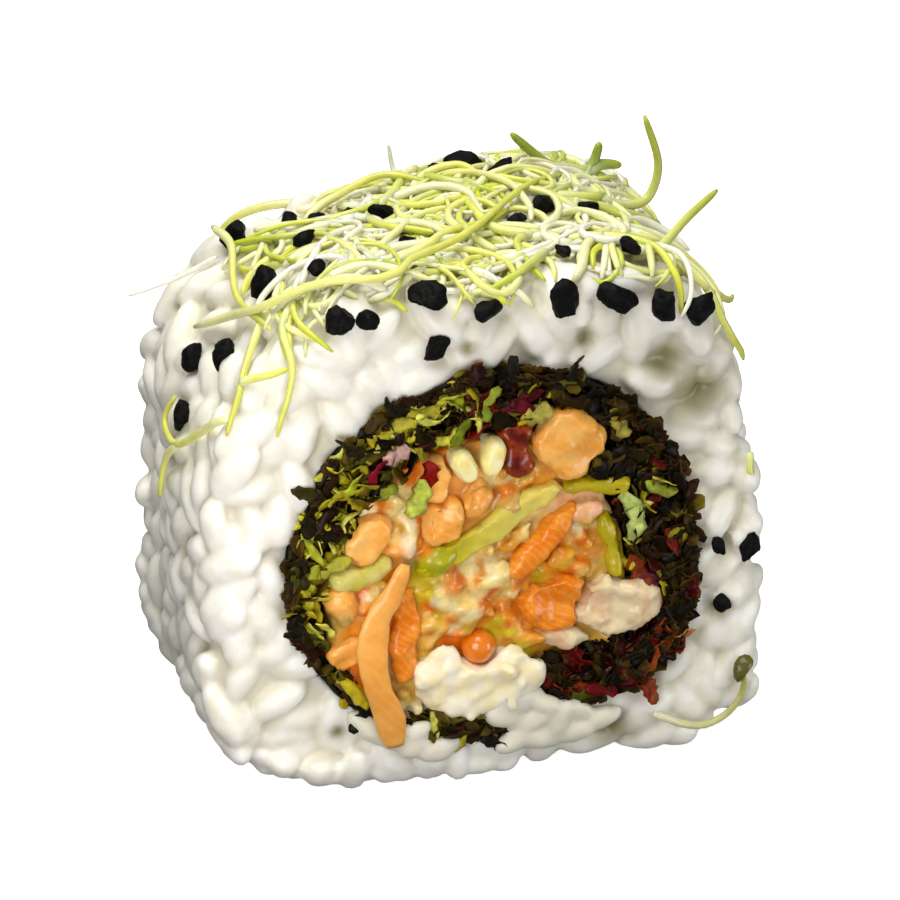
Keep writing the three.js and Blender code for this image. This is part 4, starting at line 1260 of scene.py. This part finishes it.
def husk_places():
    """Where each husk lies: its middle, the skin's normal and direction round the roll, and its size."""
    places = []
    for group, height in ((SEEDS_IN_SPROUTS, HEIGHT_IN_SPROUTS), (SEEDS_ON_RICE, HEIGHT_ON_RICE)):
        for u, v, size in group:
            places.append((*skin(u, v, height), size))
    return places


def on_skin(knots, count):
    """count points on a smooth curve through places on the roll's skin."""
    return np.array([skin(*p)[0] for p in smooth_path(knots, count)])


# Each kind of stem in its own place: its curves, how they run, points, radius, share of green and tint
STEM_KINDS = [
    (DRAPED, on_skin, 30, 0.35, 0.3, "#dfe064"),
    ([FALLEN], on_skin, 26, 0.32, 0.6, "#c4c07c"),
    (STANDING, smooth_path, 24, 0.4, 0.6, "#cdd45c"),
    (PALE_ROOTS, smooth_path, 24, 0.22, 0.0, "#f3f1e0"),
    (LEAFLETS, smooth_path, 24, 0.5, 0.3, LEAFY),
]


def add_stem(heap, line, radius, green, tint):
    """A stem that thins towards its tip. It is palest at the root end and greenest at the tip."""
    count, sides = len(line), 7
    share = np.linspace(0, 1, count)[:, None]
    base = np.array(linear(tint))
    tints = base + (np.array(linear(ROOT_END)) - base) * (1 - share) ** 2 * 0.5
    tints = tints + (np.array(linear(LEAFY)) - tints) * share**2 * green
    size = rounded(count, radius, 0.45) * (1.15 - 0.45 * share[:, 0])
    points, faces = tube(line, size, size * 0.85, (0.3, 0.5, 0.8), sides)
    heap.add(points, faces, np.repeat(tints, sides, axis=0))


def stray_knots(draw, turning):
    """A wandering stem on the skin, as u, v and height. It stops where the tangle ends."""
    u, v = draw(-14.5, 16), draw(-12, 11.5)
    heading = 0.45 + draw(-1.2, 1.2) + (math.pi if draw() < 0.3 else 0)
    bend = draw(-turning, turning)
    base = draw(0.1, 1.2)
    lift = draw(0.1, 0.8)
    pace = draw(0.9, 1.6)
    count = 9
    knots = []
    for k in range(count):
        knots.append((u, v, base + lift * math.sin(math.pi * k / (count - 1))))
        u += pace * math.cos(heading)
        v += pace * math.sin(heading)
        heading += bend + draw(-0.3, 0.3)
        if v > STRAY_BACK + min(u, 0) * 0.4 or v < 0.6 - FACE_START or u > 20 or u < -17.5:
            break
    return knots


def sprouts():
    """Leek sprouts: a loose tangle of thin stems in which no stem runs through a husk."""
    draw = Dice(3119)
    heap = Heap()
    for curves, run, count, radius, green, tint in STEM_KINDS:
        for knots in curves:
            add_stem(heap, run(knots, count), radius, green, tint)
    shape, shape_faces = ball(2)
    tip, normal, round_way = skin(*FALLEN[-1])
    heap.add(placed(chip(draw, shape), tip, round_way, normal, BUD_HALF), shape_faces, linear(BUD_TINT))
    husks = husk_places()
    for n in range(STRAY_STEMS):
        knots = stray_knots(draw, 0.45 if n % 3 else 0.9)
        if len(knots) < 4:
            continue
        line = on_skin(knots, 2 * len(knots) + 4)
        if min(np.linalg.norm(line - at, axis=1).min() / size for at, _, _, size in husks) > 1.15:
            radius, green = draw(0.17, 0.42), draw(0, 0.35)
            add_stem(heap, line, radius, green, draw.pick(STEM_TINTS))
    return heap.piece("leek_sprout_tangle", PALETTE["stem"], "sprouts", ["leek_sprouts", "fallen_sprout"])


def seeds():
    """Three-cornered husks with a few flat sides and a wrinkled coat."""
    draw = Dice(441)
    heap = Heap()
    shape, faces = ball(3)
    for at, normal, round_way, size in husk_places():
        cornered = chip(draw, shape, 6, 0.5, 0.8)
        points = relief(cornered, shape, [(0.2, 0.7, draw(0, 50)), (0.1, 0.3, draw(0, 50))])
        spin = draw(0, math.pi)
        axis = math.cos(spin) * round_way + math.sin(spin) * np.cross(normal, round_way)
        axis += normal * draw(-0.4, 0.4)
        heap.add(placed(points, at, axis, normal, HUSK_HALF * size), faces, BLACK)
    return heap.piece("leek_seed_husks", PALETTE["husk"], "sprouts", ["leek_sprouts", "rice"])


# The camera, the floor and the light

VIEW_AZIMUTH = math.radians(-17)
VIEW_ELEVATION = math.radians(25)
VIEW_DISTANCE = 420
VIEW_AIM = (0.17, 0.0, 22.35)
FRAME_PIXELS = 900
PIXELS_PER_MM = 12.8
SENSOR = 36


def camera():
    """At the photograph's viewing angle, with the lens that gives the roll its size in the frame."""
    out = math.cos(VIEW_ELEVATION)
    back = Vector((math.sin(VIEW_AZIMUTH) * out, -math.cos(VIEW_AZIMUTH) * out, math.sin(VIEW_ELEVATION)))
    data = bpy.data.cameras.new("camera")
    data.sensor_width = SENSOR
    data.lens = PIXELS_PER_MM * VIEW_DISTANCE / FRAME_PIXELS * SENSOR
    made = bpy.data.objects.new("camera", data)
    made.location = (Vector(VIEW_AIM) + back * VIEW_DISTANCE) * MM
    made.rotation_mode = "QUATERNION"
    made.rotation_quaternion = (-back).to_track_quat("-Z", "Y")
    bpy.context.scene.collection.objects.link(made)
    bpy.context.scene.camera = made


# Square lights: name, place, what it is turned to, size in millimetres, watts and colour
LIGHTS = [
    ("key", (-32, -56, 26), (-14, -12, 20), 30, 0.0198, "#faf6fa"),
    ("side", (58, -50, 12), (18, -12, 10), 30, 0.014, "#fafaff"),
    ("front", (-30, -90, 200), (-4, 0, 30), 100, 0.16, "#fffcf8"),
    ("top", (-50, 20, 240), (-8, 0, 40), 140, 0.38, "#fffdf6"),
]
SKY_STRENGTH = 0.22
FLOOR_REACH = 3000 * MM
FLOOR_DROP = 0.2 * MM
FLOOR_GLOW = 0.75


def light(name, at, aim, size, watts, colour):
    """A soft square light at a place, turned to its aim."""
    data = bpy.data.lights.new(name, "AREA")
    data.size = size * MM
    data.energy = watts
    data.color = linear(colour)[:3]
    made = bpy.data.objects.new(name, data)
    made.location = Vector(at) * MM
    made.rotation_mode = "QUATERNION"
    made.rotation_quaternion = (Vector(aim) - Vector(at)).to_track_quat("-Z", "Y")
    made.visible_camera = False
    bpy.context.scene.collection.objects.link(made)


def floor():
    """A plain white floor that glows a little, so that it stays white. It throws no light on the roll."""
    mesh = bpy.data.meshes.new("floor")
    corners = [(-1, -1), (1, -1), (1, 1), (-1, 1)]
    points = [(x * FLOOR_REACH, y * FLOOR_REACH, -FLOOR_DROP) for x, y in corners]
    mesh.from_pydata(points, [], [[0, 1, 2, 3]])
    material, tree = blank("floor_card")
    looks = {"Base Color": linear("#f7f6f3"), "Roughness": 0.8}
    glow = {"Emission Color": linear("#ffffff"), "Emission Strength": FLOOR_GLOW}
    shader = put(tree, "BsdfPrincipled", {**looks, **glow})
    put(tree, "OutputMaterial", {"Surface": shader.outputs["BSDF"]})
    mesh.materials.append(material)
    made = bpy.data.objects.new("floor", mesh)
    bpy.context.scene.collection.objects.link(made)
    made.visible_diffuse = False
    made.visible_glossy = False


def sky():
    """A weak even light from all round, and colours as they are."""
    world = bpy.data.worlds.new("sky")
    world.use_nodes = True
    background = world.node_tree.nodes["Background"]
    background.inputs["Color"].default_value = (1, 1, 1, 1)
    background.inputs["Strength"].default_value = SKY_STRENGTH
    bpy.context.scene.world = world
    bpy.context.scene.view_settings.view_transform = "Standard"


rice()
loose_rice()
seaweed()
for number, (node, finish, slot, uneven) in enumerate(CHUNKS):
    chunk(node, finish, slot, uneven, 3.7 * number)
roe()
chopped_mix()
soft_cheese()
chopped_leaves()
carrot_ribbon()
red_leaf()
sprouts()
seeds()
camera()
floor()
for row in LIGHTS:
    light(*row)
sky()
